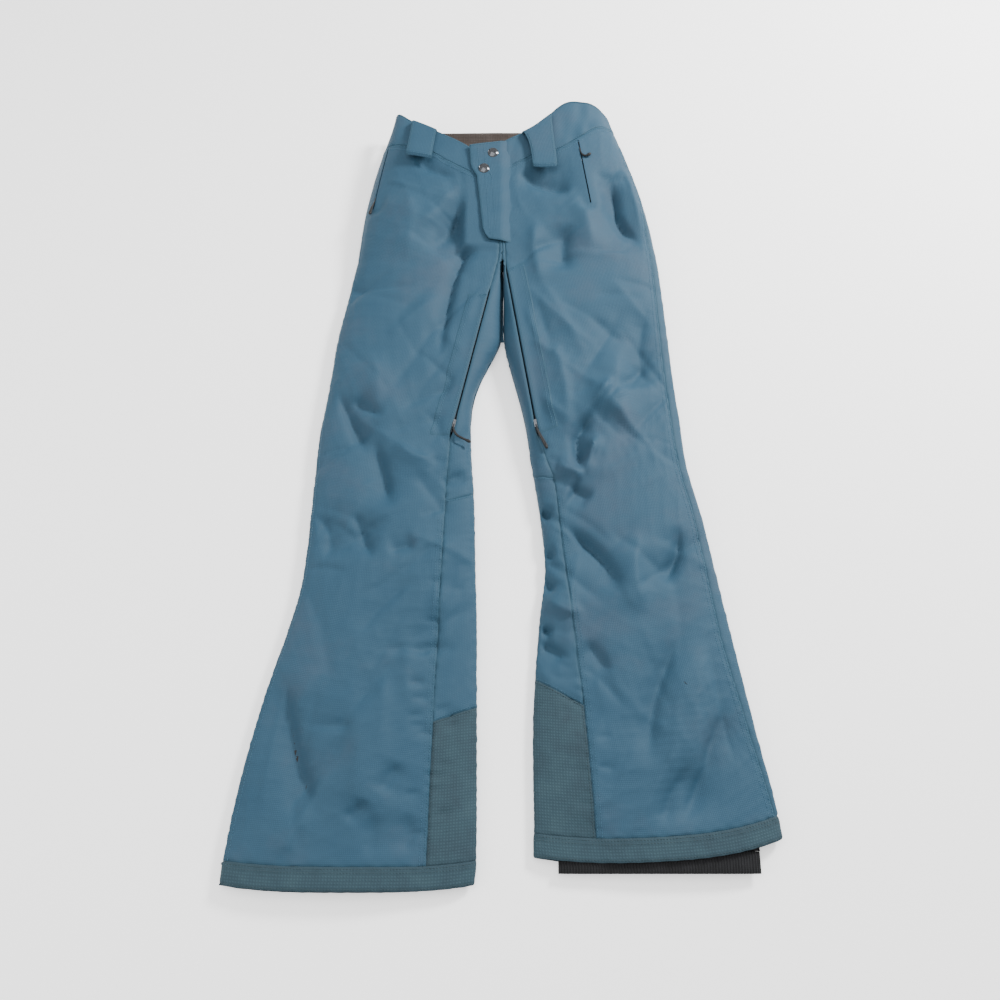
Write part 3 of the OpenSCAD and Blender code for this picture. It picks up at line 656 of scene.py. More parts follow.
def noise(tree, vector, size_mm, detail, **more):
    inputs = {"Vector": vector, "Scale": 1 / (size_mm * MM), "Detail": detail, **more}
    return add(tree, "ShaderNodeTexNoise", inputs).outputs["Fac"]


def tinted(tree, factor, a, b, **settings):
    inputs = {"Factor": factor, "A": a, "B": b}
    return add(tree, "ShaderNodeMix", inputs, data_type="RGBA", **settings).outputs["Result"]


def maths(tree, operation, a, b):
    return add(tree, "ShaderNodeMath", {0: a, 1: b}, operation=operation).outputs[0]


def spread(tree, value, low, high):
    return add(tree, "ShaderNodeMapRange", {"Value": value, "To Min": low, "To Max": high}).outputs["Result"]


def bumped(tree, height, strength, depth_mm):
    inputs = {"Height": height, "Strength": strength, "Distance": depth_mm * MM}
    return add(tree, "ShaderNodeBump", inputs).outputs["Normal"]


def finish_with(tree, inputs):
    shader = add(tree, "ShaderNodeBsdfPrincipled", inputs)
    add(tree, "ShaderNodeOutputMaterial", {"Surface": shader.outputs["BSDF"]})


def woven(name, shades, thread_mm, bump_mm, roughness, sheen, seam_painted_shade, blotch_mm=90, sheen_tint="#a9b6bd"):
    """Woven cloth: threads over and under, uneven dye, and painted shade that darkens the cloth along its rolled
    seams.
    """
    material, tree = blank(name)
    uv = add(tree, "ShaderNodeUVMap", uv_map="cloth").outputs["UV"]
    place = add(tree, "ShaderNodeTexCoord").outputs["Object"]
    wave_scale = 1 / (thread_mm * MM) / 20 * 6.2832 / 2
    threads = []
    for direction in ("X", "Y"):
        inputs = {"Vector": uv, "Scale": wave_scale, "Distortion": 0.4, "Detail": 1.0}
        threads.append(add(tree, "ShaderNodeTexWave", inputs, bands_direction=direction).outputs["Fac"])
    weave = maths(tree, "MULTIPLY", *threads)
    blotch = noise(tree, place, blotch_mm, 5.0, Roughness=0.6)
    slub = noise(tree, uv, 2.2, 2.0)
    dye = ramp(tree, blotch, [(0.3, shades[0]), (0.52, shades[1]), (0.72, shades[2])])
    weave_shade = tinted(tree, weave, colour("#d9dcde"), colour("#ffffff"))
    body = tinted(tree, 1.0, dye, weave_shade, blend_type="MULTIPLY")
    # painted shade: a darker colour mixed in along the rolled seams, whose grooves lie in shade
    seam = add(tree, "ShaderNodeAttribute", attribute_name="seam").outputs["Fac"]
    finish_with(tree, {
        "Base Color": tinted(tree, maths(tree, "MULTIPLY", seam, 0.7), body, colour(seam_painted_shade)),
        "Roughness": spread(tree, blotch, roughness - 0.06, roughness + 0.06),
        "Normal": bumped(tree, maths(tree, "ADD", weave, slub), 0.6, bump_mm), "Sheen Weight": sheen,
        "Sheen Roughness": 0.4, "Sheen Tint": colour(sheen_tint), "IOR": 1.45, "Specular IOR Level": 0.3})
    return material


def metal(name, shade, roughness, grain_mm):
    """Plated metal, with fine polishing marks."""
    material, tree = blank(name)
    grain = noise(tree, add(tree, "ShaderNodeTexCoord").outputs["Object"], grain_mm, 3.0)
    tone = ramp(tree, grain, [(0.35, shade), (0.75, "#d8dadd")])
    finish_with(tree, {
        "Base Color": tinted(tree, 0.12, colour(shade), tone), "Metallic": 1.0,
        "Roughness": spread(tree, grain, roughness * 0.7, roughness * 1.4),
        "Normal": bumped(tree, grain, 0.15, 0.05)})
    return material


def nylon(name, shade, light, roughness, grain_mm):
    """Moulded or braided nylon, with a little lint."""
    material, tree = blank(name)
    grain = noise(tree, add(tree, "ShaderNodeTexCoord").outputs["Object"], grain_mm, 4.0)
    finish_with(tree, {
        "Base Color": ramp(tree, grain, [(0.4, shade), (0.8, light)]), "Roughness": roughness,
        "Normal": bumped(tree, grain, 0.5, 0.15), "Specular IOR Level": 0.3})
    return material


# the last colour of each cloth is its painted shade along the seams
SHELL = woven("nylon_twill_shell", ("#22475c", "#294b5f", "#364d5f"), 1.0, 0.2, 0.68, 0.05, "#21404f")
TRIM = woven("ripstop_hem_nylon", ("#2b3e47", "#30464f", "#364c54"), 1.6, 0.4, 0.8, 0.05, "#253740", 30)
LINING = woven("brushed_tricot", ("#453c37", "#4d4440", "#574e49"), 1.2, 0.5, 0.9, 0.25, "#332c28", 20,
               "#b8a99c")
TAFFETA = woven("black_taffeta", ("#1b1b1d", "#212123", "#28282a"), 0.8, 0.2, 0.6, 0.1, "#161617", 40)
ELASTIC = woven("ribbed_elastic", ("#161617", "#1b1b1d", "#232325"), 1.0, 0.4, 0.85, 0.12, "#101011", 15)
THREAD = nylon("polyester_thread", "#2b4f64", "#3f6579", 0.6, 0.6)
THREAD_DARK = nylon("dark_thread", "#273940", "#37494f", 0.6, 0.6)
ZIP = nylon("zip_coil_nylon", "#152029", "#22303a", 0.42, 0.5)
CORD = nylon("braided_cord", "#0c0c0d", "#1f2021", 0.55, 0.9)
NICKEL = metal("satin_nickel", "#9a9ca0", 0.28, 0.8)
GUNMETAL = metal("dark_nickel_plate", "#4a4c50", 0.16, 1.5)

BODY_OF = {node: body for body, nodes in frame["record"]["behaviour"]["bodies"].items() for node in nodes}


def settle(obj, material, node):
    """Gives a finished piece its material and body, and hides the CAD node that it stands for."""
    obj.data.materials.clear()
    obj.data.materials.append(material)
    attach(obj, BODY_OF[node])
    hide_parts(node)


def sewn(node, p, side, material, on, **cut):
    """A whole piece of cloth from a grid of points. The piece named by on is not used."""
    obj = sheet_mesh(node, p, side, **cut)
    settle(obj, material, node)


# --- openings cut through the cloth ---
def cut_pocket(obj, side):
    """A slit through the front panel over the pocket zip, as wide as the zip's crown needs."""
    (ax, ay), (bx, by) = pocket_span(side)
    start = Vector((ax, ay, float(front_z(side, ay, share_across(side, ay, ax)))))
    end = Vector((bx, by, float(front_z(side, by, share_across(side, by, bx)))))
    along = (end - start).normalized()
    bpy.ops.mesh.primitive_cube_add(size=1)
    cutter = bpy.context.object
    cutter.scale = ((end - start).length * MM + 0.006, 0.0018, 0.012)
    over = panel_normal(side, ax, ay).cross(along).normalized()
    turn = Matrix((along, over, along.cross(over).normalized())).transposed().to_4x4()
    middle = Matrix.Translation((start + end) / 2 * MM)
    cutter.matrix_world = middle @ turn @ Matrix.Diagonal((*cutter.scale, 1))
    bpy.context.view_layer.update()
    select_only(obj)
    modifier = obj.modifiers.new("slit", "BOOLEAN")
    modifier.object, modifier.operation, modifier.solver = cutter, "DIFFERENCE", "EXACT"
    bpy.ops.object.modifier_apply(modifier=modifier.name)
    bpy.data.objects.remove(cutter, do_unlink=True)


def panel_normal(side, x, y):
    point = lambda a, y: body_point(side, np.array(a), np.array(y))
    a = share_of(side, y, x)
    u = point(a + 0.01, y) - point(a - 0.01, y)
    v = point(a, y + 3.0) - point(a, y - 3.0)
    return Vector(np.cross(u, v) * side).normalized()


# --- build the legs ---
GRID = {}
for side in (LEFT, RIGHT):
    inner, front, back = leg_grids(side)
    seam_line = (inner[:, -1] + front[:, 0]) / 2
    open_row = slit_at(side, seam_line[:, 1]) > 0.05
    keep_z = np.where(open_row, 0, 1)[:, None]
    inner[:, -1] = mix(inner[:, -1], seam_line, keep_z)
    front[:, 0] = mix(front[:, 0], seam_line, keep_z)
    back[:, 0] = front[:, -1]
    back[:, -1, :2] = inner[:, 0, :2]
    back[:, -1] = mix(inner[:, 0], back[:, -1], above_thigh(back[:, -1, 1])[:, None])
    seat_y = back[:, -1, 1]  # the seat seam laps over, more where the cloth rises to the waist
    back[:, -1, 0] -= side * (0.8 * ease((seat_y - 262) / 40) + 1.8 * ease((seat_y - 380) / 60))
    GRID[side] = {"inner": inner, "front": front, "back": back}

FINE = 3.0  # spacing of the cloth's points
PIECES = {}  # the outer face of each panel, for the stitching


def panel(node, side, grid, r0, r1, c0, c1, material, size=FINE, seams=ALL_EDGES, rough=0.45):
    """One panel between two rows and two columns of a leg's grid."""
    p = press_folds(refine(GRID[side][grid], r0, r1, c0, c1, size), side)
    p = crumple(p, side, rough, edge_distance(p, seams))
    p[..., 2] = np.maximum(p[..., 2], 0)
    obj = sheet_mesh(node, p, side, seams=seams)
    if grid == "front":
        cut_pocket(obj, side)
    settle(obj, material, node)
    PIECES[node] = p


def joined(*grids):
    """Grids side by side, sharing the column where they meet."""
    out = grids[0]
    for g in grids[1:]:
        out = np.concatenate([out, g[:, 1:]], 1)
    return out


for side in (LEFT, RIGHT):
    n = NAME[side]
    panel(f"front_panel_{n}", side, "front", HEM_ROWS, TOP_ROW, 0, FRONT_COLUMNS, SHELL)
    panel(f"inner_thigh_{n}", side, "inner", KNEE_ROW, TOP_ROW, 0, INNER_COLUMNS, SHELL)
    panel(f"inner_calf_{n}", side, "inner", KICK_ROW, KNEE_ROW, 0, INNER_COLUMNS, SHELL)
    panel(f"kick_patch_{n}", side, "inner", HEM_ROWS, KICK_ROW, 0, INNER_COLUMNS, TRIM, rough=0.2)
    wrap = SIDE_COLUMNS + BACK_COLUMNS
    GRID[side]["wrap"] = joined(GRID[side]["front"][:, FRONT_COLUMNS:], GRID[side]["back"])
    panel(f"back_panel_{n}", side, "wrap", HEM_ROWS, TOP_ROW, 0, wrap, SHELL, size=5.0)
    GRID[side]["ring"] = joined(*[GRID[side][grid][:HEM_ROWS + 2] for grid in ("inner", "front", "back")])
    panel(f"hem_band_{n}", side, "ring", 0, HEM_ROWS, 0, INNER_COLUMNS + FRONT_COLUMNS + wrap, TRIM,
          seams=("low", "high"), rough=0.15)


# --- waistband, belt loops and lining ---
def band_base(side, s):
    x = mix(3.4 if side == LEFT else 0.6, 170, s)
    y = line(WAIST_SEAM[side], x)
    x = np.minimum(x, outer_x(side, y) - 0.4)
    return np.stack([side * x, y + 0.06, front_z(side, y, share_across(side, y, x))], -1)


def band_edge(side, s):
    t = WAIST_EDGE[side]
    return np.stack([side * curve(t, s, 1), curve(t, s, 2), curve(t, s, 3)], -1)


def band_point(side, s, t):
    return mix(band_base(side, s), band_edge(side, s), np.asarray(t)[..., None])


BAND_HALF = 154  # half width of the back waistband's edge


def back_band_point(u, t):
    """A point of the back waistband: u from -1 to 1 across it, t from its seam to its edge."""
    u, t = np.broadcast_arrays(u, t)
    low = np.where(u > 0, back_waist_at(BACK_HALF * u, LEFT), back_waist_at(BACK_HALF * u, RIGHT))
    z = LOOP_GAP + LOOP_THICK + 0.6 + 13 * t * t * (1 - 0.5 * u * u) + 9 * turned_up(u) * (1 - 0.4 * t)
    return np.stack([BAND_HALF * u + (1 - t) * 10 * u, mix(low, 494.5 + 9 * np.abs(u) ** 4, t), z], -1)


def pucker(p, side, wave, amount, seed):
    """Small ripples across a stitched band."""
    rng = np.random.default_rng(seed)
    uv = arc_uv(p)
    u, v = uv[..., 0], uv[..., 1]
    z = np.zeros(u.shape)
    for _ in range(5):
        k, phase, lean = wave * rng.uniform(0.6, 1.8), rng.uniform(0, 6.28), rng.normal(0, 0.25)
        z += np.sin((u + lean * v) * 2 * math.pi / k + phase) * np.clip(np.sin(u / 61 + phase * 3), 0, 1)
    return p + grid_normals(p, side) * (amount * z)[..., None]


def waistband_front(side):
    s = np.linspace(0, 1, 70)[None, :]
    t = np.linspace(0, 1, 16)[:, None]
    p = pucker(band_point(side, s * np.ones_like(t), t * np.ones_like(s)), side, 26, 0.35, 31 + side)
    n = NAME[side]
    sewn(f"waistband_front_{n}", p, side, SHELL, f"front_panel_{n}", thick=2, groove=0.9, reach=3.5)
    PIECES[f"waistband_front_{n}"] = p


def back_band():
    """The back waistband, and the lining quilted in channels over it."""
    u = np.linspace(-0.985, 0.985, 90)[None, :]
    t = np.linspace(0, 1, 14)[:, None]
    p = pucker(back_band_point(u, t), LEFT, 30, 0.25, 41)
    sewn("waistband_back", p, LEFT, SHELL, "belt_loops_back", thick=1.6, lift=1.6)
    u = np.linspace(-0.9, 0.9, 120)[None, :]
    p = back_band_point(u, np.linspace(0.06, 0.985, 20)[:, None])
    channels = np.abs(np.sin(arc_uv(p)[..., 1] * math.pi / 7.5)) ** 0.6
    p = p + grid_normals(p, LEFT) * (0.9 * channels)[..., None]
    sewn("waistband_lining", p, LEFT, LINING, "waistband_back", thick=1, lift=2.7)


def loop_grid(point, middle, half, facing, open_end=0.0):
    """A belt loop standing off a band, both ends turned down onto it."""
    t = np.linspace(0, 1, 34)
    p = np.stack([[point(middle(k) + w * half, k) for w in np.linspace(-1, 1, 12)] for k in t])
    length = np.linalg.norm(p[-1, 6] - p[0, 6])
    standing = ease(np.minimum(t + open_end, 1 - t) * length / 7)
    rise = LOOP_THICK + 0.15 + 0.78 * (LOOP_GAP + LOOP_THICK) * standing
    return p + grid_normals(p, facing) * rise[:, None, None]


LOOP_CUT = {"thick": LOOP_THICK, "seams": ("first", "last"), "groove": 0.6, "reach": 2}


def front_loop(side):
    seat = {LEFT: (0.37, 0.19), RIGHT: (0.66, 0.64)}[side]
    point = lambda s, t: band_point(side, np.array([s]), np.array([mix(-0.42, 0.99, t)]))[0]
    p = loop_grid(point, lambda t: mix(*seat, t), 17 / WAIST_HALF, side, 0.05)
    node = f"belt_loop_front_{NAME[side]}"
    sewn(node, p, side, SHELL, f"waistband_front_{NAME[side]}", **LOOP_CUT)
    LINES.extend((p, side, edge, 3.0, node, 0.15, 0.85) for edge in ("first", "last"))
    LINES.extend((p, side, edge, row, node, 0.06, 0.94) for row in (1.6, 4.6) for edge in ("low", "high"))


def back_loops():
    point = lambda u, t: back_band_point(np.array([u]), np.array([mix(0.03, 0.97, t)]))[0]
    grids = [loop_grid(point, lambda t: middle, 17.5 / BAND_HALF, RIGHT) for middle in (-0.62, 0, 0.62)]
    obj = join([sheet_mesh("belt_loop", p, RIGHT, **LOOP_CUT) for p in grids], "belt_loops_back")
    settle(obj, SHELL, "belt_loops_back")


# --- inside layers ---
def inside_layer(node, side, a_low, a_high, y_low, y_high, lift, thick=0.8):
    """A layer of taffeta under the front, between two shares of the way round it and two heights."""
    a = np.linspace(a_low, a_high, 22)[None, :]
    y = np.linspace(y_low, y_high, 60)[:, None]
    p = body_point(side, a * np.ones_like(y), y * np.ones_like(a))
    p = pucker(p + grid_normals(p, side) * lift, side, 40, 0.5, 51)
    sewn(node, p, side, TAFFETA, f"back_panel_{NAME[side]}", thick=thick)


TUBE_COLUMNS = 420


def leg_tube(side, inset, drop, y):
    """A closed tube inside the leg: inset from the folds, drop from the floor and from the front."""
    y = y[:, :1] * np.ones((1, TUBE_COLUMNS))
    a = np.linspace(0.004, 1.996, TUBE_COLUMNS)[None, :] * np.ones_like(y)
    x = mix(inner_x(side, y) + inset, outer_x(side, y) - inset, across(a))
    h = line(CROWN, y)
    return np.stack([side * x, y, drop + body_point(side, a, y)[..., 2] * (h - 2 * drop) / h], -1)


GAITER_LOW = {LEFT: -498, RIGHT: -500}
CUFF_INSET = {LEFT: 26, RIGHT: 22}


def gaiter(side):
    """The boot gaiter, gathered into its ribbed elastic gripper at the cuff."""
    low, inset, n = GAITER_LOW[side], CUFF_INSET[side], NAME[side]
    y = np.linspace(low + 22.3, low + 150, 70)[:, None] * np.ones((1, TUBE_COLUMNS))
    p = leg_tube(side, mix(13, inset - 1, np.exp(-((y - y[0]) / 55) ** 2)), 5.2, y)
    u = arc_uv(p)[..., 0]
    gather = 1.1 * np.sin(u / 3.7 + 2 * np.sin(u / 23)) * np.exp(-(y - y[0]) / 30)
    p = p - grid_normals(p, side) * (1.2 + gather)[..., None]
    front = (np.arange(TUBE_COLUMNS) < 212)[None, :]
    pressed = front_z(side, y, share_across(side, y, p[..., 0])) + np.minimum(0, fold_height(p[..., 0], y))
    under = np.maximum(5.5, pressed) - 4.4  # it stays under the folds pressed into the shell
    p[..., 2] = np.where(front, np.minimum(p[..., 2], under), p[..., 2])
    sewn(f"gaiter_{n}", p, side, TAFFETA, f"back_panel_{n}", thick=0.8)
    wide = leg_tube(side, inset, 4.6, np.linspace(low, low + 22, 16)[:, None])
    p = cubic(wide, np.linspace(0, wide.shape[1] - 1, 1500), 1)
    ribs = 0.45 + 0.42 * np.cos(arc_uv(p)[..., 0] * 2 * math.pi / 3.0)
    p = p - grid_normals(p, side) * ribs[..., None]
    sewn(f"gaiter_gripper_{n}", p, side, ELASTIC, f"gaiter_{n}", thick=1.2, seams=("low", "high"), groove=0.5,
         reach=1.5)


def crotch_gusset():
    """A strip folded into a U between the thighs, sewn up to both of them."""
    y = np.linspace(150, 268, 60)[:, None]
    k = np.linspace(-1, 1, 25)[None, :]
    half = np.maximum(0.75, np.minimum(inner_x(LEFT, y), inner_x(RIGHT, y)) - 0.4)
    x = half * np.clip(k * 2.2, -1, 1)
    top = np.minimum(front_z(LEFT, y, np.zeros_like(y)), front_z(RIGHT, y, np.zeros_like(y))) - 4
    low = np.maximum(back_z(LEFT, y, 0), back_z(RIGHT, y, 0)) + 1.2
    z = mix(low, np.maximum(top, low + 1), np.clip(np.abs(k) * 2.2 - 1, 0, 1.2) / 1.2)
    p = np.stack([x + 0 * z, y + 0 * z, z], -1)
    sewn("crotch_gusset", p, LEFT, SHELL, "back_panel_left", thick=0.5, seams=())


# --- fly flap with its tab ---
def fly_flap():
    """The flap over the fly and its tab, sewn to the left front."""
    free = [[289, -18], [293, -23], [298, -26], [385, -34.5], [400, -41.5], [406, -43], [437, -45]]
    top = [[-45, 437], [-20, 441.5], [2.1, 444.5], [15, 447]]
    low = [[-45, 300], [-26, 297], [-22, 292.5], [-18, 290.5], [-10, 289], [15, 286]]
    v = np.linspace(0, 1, 100)[:, None]
    u = np.linspace(0, 1, 42)[None, :]
    x = mix(line(free, mix(FLY_FOOT, 440, v) + 0 * u), 15, u)
    y = mix(line(low, x), line(top, x), v)
    z = fly_height(y) + mix(3.5, -1.2, ease((x + 4) / 19))
    ripple = 0.25 * np.sin(y / 9 + x / 14) + 0.2 * np.sin(y / 4.3 - x / 6)
    p = np.stack([x, y, z + ripple], -1)
    obj = sheet_mesh("fly_flap", p, LEFT, thick=FLAP_THICK, seams=("low", "high", "first"), groove=0.8,
                     reach=2.6)
    obj.data.materials.append(SHELL)
    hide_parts("fly_flap")
    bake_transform(obj)
    for edge, d, start in (("first", 11.5, 0.03), ("first", 20, 0.1), ("high", 2.2, 0.03)):
        LINES.append((p[:, :32], LEFT, edge, d, "fly_flap", start, 0.97))


# --- stitches ---
LINES = []  # rows of stitching on the belt loops and the fly flap


def edge_path(p, facing, edge, distance, start=0.0, end=1.0):
    """Points and normals of a line that runs at a distance from one edge of a grid."""
    n = grid_normals(p, facing)
    if edge in ("low", "high"):
        p, n = p.transpose(1, 0, 2), n.transpose(1, 0, 2)
    if edge in ("last", "high"):
        p, n = p[:, ::-1], n[:, ::-1]
    run = run_of(p, 1)
    points, normals = [], []
    for k in range(int(start * (len(p) - 1)), int(end * (len(p) - 1)) + 1):
        at = np.interp(distance, run[k], np.arange(run.shape[1]))
        i = min(int(at), run.shape[1] - 2)
        points.append(mix(p[k, i], p[k, i + 1], at - i))
        normals.append(mix(n[k, i], n[k, i + 1], at - i))
    return np.array(points), np.array(normals)


def stitches(points, normals, pitch=3.4, length=2.4, wide=0.55, tall=0.42, sunk=0.2):
    """Small raised stitches along a line, as boxes with a low hump."""
    run = np.concatenate([[0], np.cumsum(np.linalg.norm(np.diff(points, axis=0), axis=1))])
    centres = np.arange(pitch / 2, run[-1], pitch)
    at = lambda d, v: np.stack([np.interp(d, run, v[:, k]) for k in range(3)], -1)
    a, b, n = at(centres - length / 2, points), at(centres + length / 2, points), unit(at(centres, normals))
    side = np.cross(n, unit(b - a)) * wide / 2
    middle = (a + b) / 2
    rings = []
    for place, lift in ((a, 0.0), (mix(a, middle, 0.5), tall), (mix(b, middle, 0.5), tall), (b, 0.0)):
        for share, rise in ((1, -sunk), (0.7, lift), (-0.7, lift), (-1, -sunk)):
            rings.append(place + side * share + n * rise)
    verts = np.stack(rings, 1).reshape(-1, 3)
    box = [[4 * r + k, 4 * r + (k + 1) % 4, 4 * r + 4 + (k + 1) % 4, 4 * r + 4 + k]
           for r in range(3) for k in range(4)]
    one = np.array(box + [[3, 2, 1, 0], [12, 13, 14, 15]])
    faces = (one[None] + 16 * np.arange(len(centres))[:, None, None]).reshape(-1, 4)
    return verts, faces


SEWN = {}


def sew(key, material, points, normals, **sizes):
    SEWN.setdefault(key, (material, []))[1].append(stitches(points, normals, **sizes))


def finish_sewing():
    """One object for all the stitches that share a name."""
    for (name, body, slot), (material, lines) in SEWN.items():
        starts = np.cumsum([0] + [len(v) for v, _ in lines])
        faces = np.concatenate([f + start for (_, f), start in zip(lines, starts)])
        obj = new_object(name, np.concatenate([v for v, _ in lines]), faces.tolist())
        obj.data.materials.append(material)
        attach(obj, body)


# [piece, edge, distance from it, start and end as shares of its length]
ROWS = [["front_panel", "first", 2.2, 0.0, 0.46], ["front_panel", "last", 2.2, 0.0, 0.97],
        ["front_panel", "high", 2.2, 0.02, 0.98], ["front_panel", "first", 7.0, 0.0, 0.46],
        ["front_panel", "last", 7.0, 0.0, 0.97], ["front_panel", "high", 7.0, 0.02, 0.98],
        ["inner_calf", "high", 2.2, 0.03, 0.97], ["inner_calf", "low", 2.2, 0.03, 0.97],
        ["kick_patch", "high", 2.2, 0.03, 0.97], ["kick_patch", "last", 2.2, 0.03, 0.97],
        ["hem_band", "low", 2.4, 0.004, 0.996], ["hem_band", "high", 2.4, 0.004, 0.996],
        ["hem_band", "high", 6.0, 0.004, 0.996],
        ["waistband_front", "high", 2.4, 0.03, 0.97], ["waistband_front", "low", 2.4, 0.03, 0.97]]


def sew_panels():
    for side in (LEFT, RIGHT):
        n = NAME[side]
        for piece, *place in ROWS:
            path = edge_path(PIECES[f"{piece}_{n}"], side, *place)
            if piece in ("kick_patch", "hem_band"):
                sew((f"hem_stitching_{n}", "root", "hem_fabric"), THREAD_DARK, *path)
            else:
                sew((f"stitching_{n}", "root", "shell_fabric"), THREAD, *path)
    for p, facing, edge, d, node, start, end in LINES:
        name, body = ("flap_stitching", "fly_flap") if node == "fly_flap" else ("loop_stitching", "root")
        sew((name, body, "shell_fabric"), THREAD, *edge_path(p, facing, edge, d, start, end))


def vent_facing(side):
    """The strip sewn along the front of a vent, with its double row of stitching."""
    n = NAME[side]
    grid = PIECES[f"front_panel_{n}"]
    low, high = VENT[side]
    rows = np.nonzero((grid[:, 0, 1] > low - 6) & (grid[:, 0, 1] < high + 2))[0]
    grid = grid[rows[0] - 1:rows[-1] + 2]
    over = grid + 0.55 * grid_normals(grid, side)
    places = np.array([0.6, 1.4, 2.6, 5, 8, 11, 14, 17, 20, 22.5, 24.6, 25.6])
    at = lambda run, row: np.stack([np.interp(places, run, row[:, c]) for c in range(3)], -1)
    p = np.stack([at(run, row) for run, row in zip(run_of(grid, 1), over)])
    sewn(f"vent_flap_{n}", p, side, SHELL, f"front_panel_{n}", thick=0.5, groove=0.5, reach=1.6)
    key = (f"vent_stitching_{n}", "root", "shell_fabric")
    for edge, d in (("last", 1.8), ("last", 6.2), ("first", 3.0)):
        sew(key, THREAD, *edge_path(p, side, edge, d, 0.02, 0.98))
    for row in (1.5, 3.2, 4.9):
        sew(key, THREAD, *edge_path(p, side, "high", row, 0.1, 0.5), pitch=2.0, length=1.9)


# --- hardware ---
def snap_rings():
    """A turned ring round the dome of each snap cap."""
    for number, (x, y) in enumerate(SNAPS):
        z = fly_height(y) + FLAP_GAP + FLAP_THICK + 0.35 + 0.15
        bpy.ops.mesh.primitive_torus_add(major_radius=6.7 * MM, minor_radius=0.5 * MM, major_segments=48,
                                         minor_segments=12, location=(x * MM, y * MM, z * MM),
                                         rotation=(math.atan(FLY_RISE), 0, 0))
        obj = bpy.context.object
        obj.name = f"snap_rim_{number + 1}"
        bpy.ops.object.transform_apply(location=True, rotation=True, scale=True)
        bpy.ops.object.shade_smooth()
        obj.data.materials.append(GUNMETAL)
        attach(obj, "fly_flap")


# Each pull's cord in its zip's own directions: along the zip, across it and out of the cloth
PULL_CORDS = {"vent_left": [[-3, 0, 4.3], [-9, 0, 5.2], [-18, -2, 5.8], [-27, -5, 6.4], [-35, -7, 6.6]],
              "vent_right": [[-3, 0, 4.3], [-9, -1, 5.1], [-16, -6, 5.6], [-19, -14, 5.8], [-21, -23, 6.0]],
              "pocket_left": [[-3, 0, 4.3], [-8, -1, 5.0], [-12, -5, 5.4], [-10, -10, 5.8]],
              "pocket_right": [[-3, 0, 4.3], [-8, 0, 5.3], [-16, 0.5, 6.6], [-23, 0, 7.4]]}


def zip_axes(name):
    """The zip's directions and its slider's place, from the slide and the pull's hinge."""
    kind, n = name.split("_")
    joints = {j["name"]: j for j in frame["joints"]}
    along = Vector(joints[f"{kind}_slide_{n}"]["axis"]).normalized()
    hinge = joints[f"{kind}_pull_hinge_{n}"]
    over = Vector(hinge["axis"]).normalized()
    out = along.cross(over).normalized()
    seat = Vector(hinge["pos_m"]) / MM - out * 3.35
    return seat, along, over, out


def pull(name):
    """A thin braided cord looped through the slider's crown, ending in a moulded tip."""
    seat, along, over, out = zip_axes(name)
    place = lambda q: seat + along * q[0] + over * q[1] + out * q[2]
    route = PULL_CORDS[name]
    kind, n = name.split("_")
    body = f"{kind}_pull_{n}"
    data = bpy.data.curves.new(body, "CURVE")
    data.dimensions = "3D"
    data.bevel_depth, data.bevel_resolution, data.resolution_u = 1.25 * MM, 3, 6
    for offset in (-1, 1):  # the loop's two strands, which part as they leave the crown
        strand = [[a, b + offset * min(1.0, 0.3 * k), c] for k, (a, b, c) in enumerate(route)]
        path = [[0.6, 0, 3.6]] + strand
        spline = data.splines.new("NURBS")
        spline.points.add(len(path) - 1)
        for point, q, thick in zip(spline.points, path, [0.4, 0.45, 0.8] + [1] * len(path)):
            point.co = (*(place(q) * MM), 1)
            point.radius = thick
        spline.use_endpoint_u, spline.order_u = True, 3
    obj = bpy.data.objects.new(body, data)
    link(obj)
    select_only(obj)
    bpy.ops.object.convert(target="MESH")
    obj = bpy.context.object
    end = place(route[-1])
    turn = (end - place(route[-2])).normalized().to_track_quat("Z", "Y").to_matrix().to_4x4()
    bpy.ops.mesh.primitive_uv_sphere_add(segments=24, ring_count=14, radius=1)
    tip = bpy.context.object
    shape = Matrix.Diagonal((2.2 * MM, 1.7 * MM, 3.8 * MM, 1))
    tip.data.transform(Matrix.Translation(end * MM) @ turn @ shape)
    obj = join([obj, tip], body)
    obj.data.shade_smooth()
    settle(obj, CORD, body)


for side in (LEFT, RIGHT):
    n = NAME[side]
    waistband_front(side)
    front_loop(side)
    vent_facing(side)
    gaiter(side)
    f = POCKET[side][0]
    near, far = share_of(side, 400.0, (f - 0.42) * 190), share_of(side, 400.0, (f - 0.06) * 190)
    inside_layer(f"pocket_bag_{n}", side, near, far, 268, 410, -15)
    low, high = VENT[side]
    edge = share_of(side, (low + high) / 2, line(SEAM[side], (low + high) / 2) + 2)
    inside_layer(f"vent_mesh_{n}", side, edge, edge + 0.1, low + 10, high - 30, -10, thick=0.6)
back_band()
back_loops()
crotch_gusset()
fly_flap()
snap_rings()
for name in PULL_CORDS:
    pull(name)
sew_panels()
SNAG = [[-1.5, 2, 0.1], [0, 0, 0.1], [2.2, -1.5, 0.1]]  # pulled thread on the left shin
cloth = PIECES["front_panel_left"].reshape(-1, 3)
spot = cloth[np.argmin(np.hypot(cloth[:, 0] - 200, cloth[:, 1] + 305))]
up = np.array([[0, 0, 1.0]] * len(SNAG))
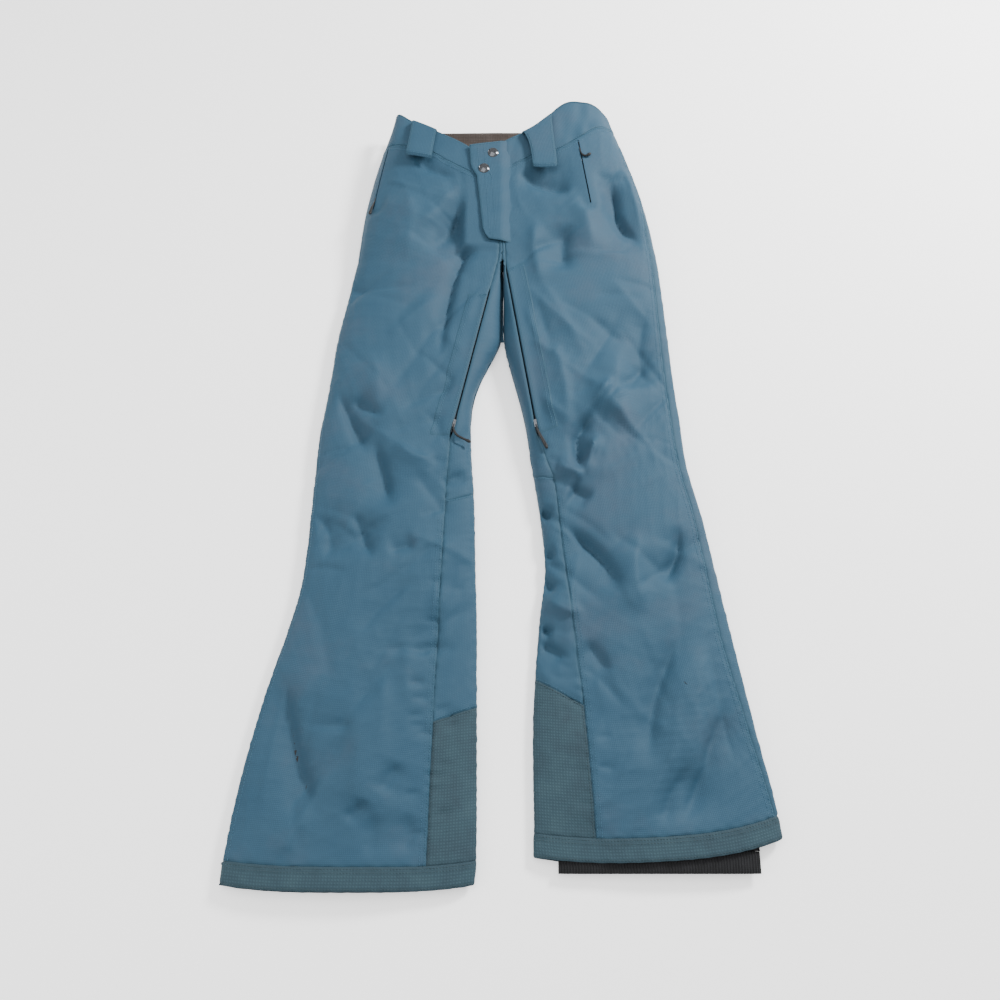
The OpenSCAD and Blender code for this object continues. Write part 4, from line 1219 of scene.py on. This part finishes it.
sew(("snagged_thread", "root", "shell_fabric"), CORD, spot + np.array(SNAG), up, pitch=1.6, length=1.8)
finish_sewing()
for node, obj in frame["nodes"].items():
    for word, material in (("zip", ZIP), ("slider", GUNMETAL), ("snap", GUNMETAL), ("hook", NICKEL)):
        if word in node.split("_"):
            obj.data.materials.clear()
            obj.data.materials.append(material)


# --- the stage ---
FLOOR_SIZE, FLOOR_DROP = 12, 0.0004
CAMERA_PLACE = (-0.003, -0.571, 1.108)
CAMERA_DOWN = 65.7  # degrees below level
LENS, SENSOR = 36, 36
# name, place, size, power
LIGHTS = (("key", (1.3, 1.05, 1.15), 0.45, 72), ("top", (-0.3, 0.2, 2.2), 1.8, 26),
          ("side", (-1.6, -0.5, 0.9), 0.9, 10))


def make_floor():
    bpy.ops.mesh.primitive_plane_add(size=FLOOR_SIZE)
    floor = bpy.context.object
    floor.name = "floor"
    floor.location.z = -FLOOR_DROP
    material, tree = blank("pale_paper")
    finish_with(tree, {"Base Color": colour("#f8f8f8"), "Roughness": 0.9, "Emission Color": colour("#ffffff"),
                       "Emission Strength": 0.6})
    floor.data.materials.append(material)


def make_camera():
    data = bpy.data.cameras.new("camera")
    data.lens, data.sensor_width = LENS, SENSOR
    camera = bpy.data.objects.new("camera", data)
    camera.location = CAMERA_PLACE
    camera.rotation_euler = (math.radians(90 - CAMERA_DOWN), 0, 0)
    link(camera)
    bpy.context.scene.camera = camera


def make_lights():
    for name, place, size, power in LIGHTS:
        data = bpy.data.lights.new(name, "AREA")
        data.size, data.energy = size, power
        light = bpy.data.objects.new(name, data)
        light.location = place
        light.rotation_euler = (Vector((0, 0, 0)) - Vector(place)).to_track_quat("-Z", "Y").to_euler()
        link(light)
    world = bpy.data.worlds.new("soft")
    bpy.context.scene.world = world
    world.use_nodes = True
    world.node_tree.nodes["Background"].inputs["Color"].default_value = (1, 1, 1, 1)
    world.node_tree.nodes["Background"].inputs["Strength"].default_value = 1.0


make_floor()
make_camera()
make_lights()
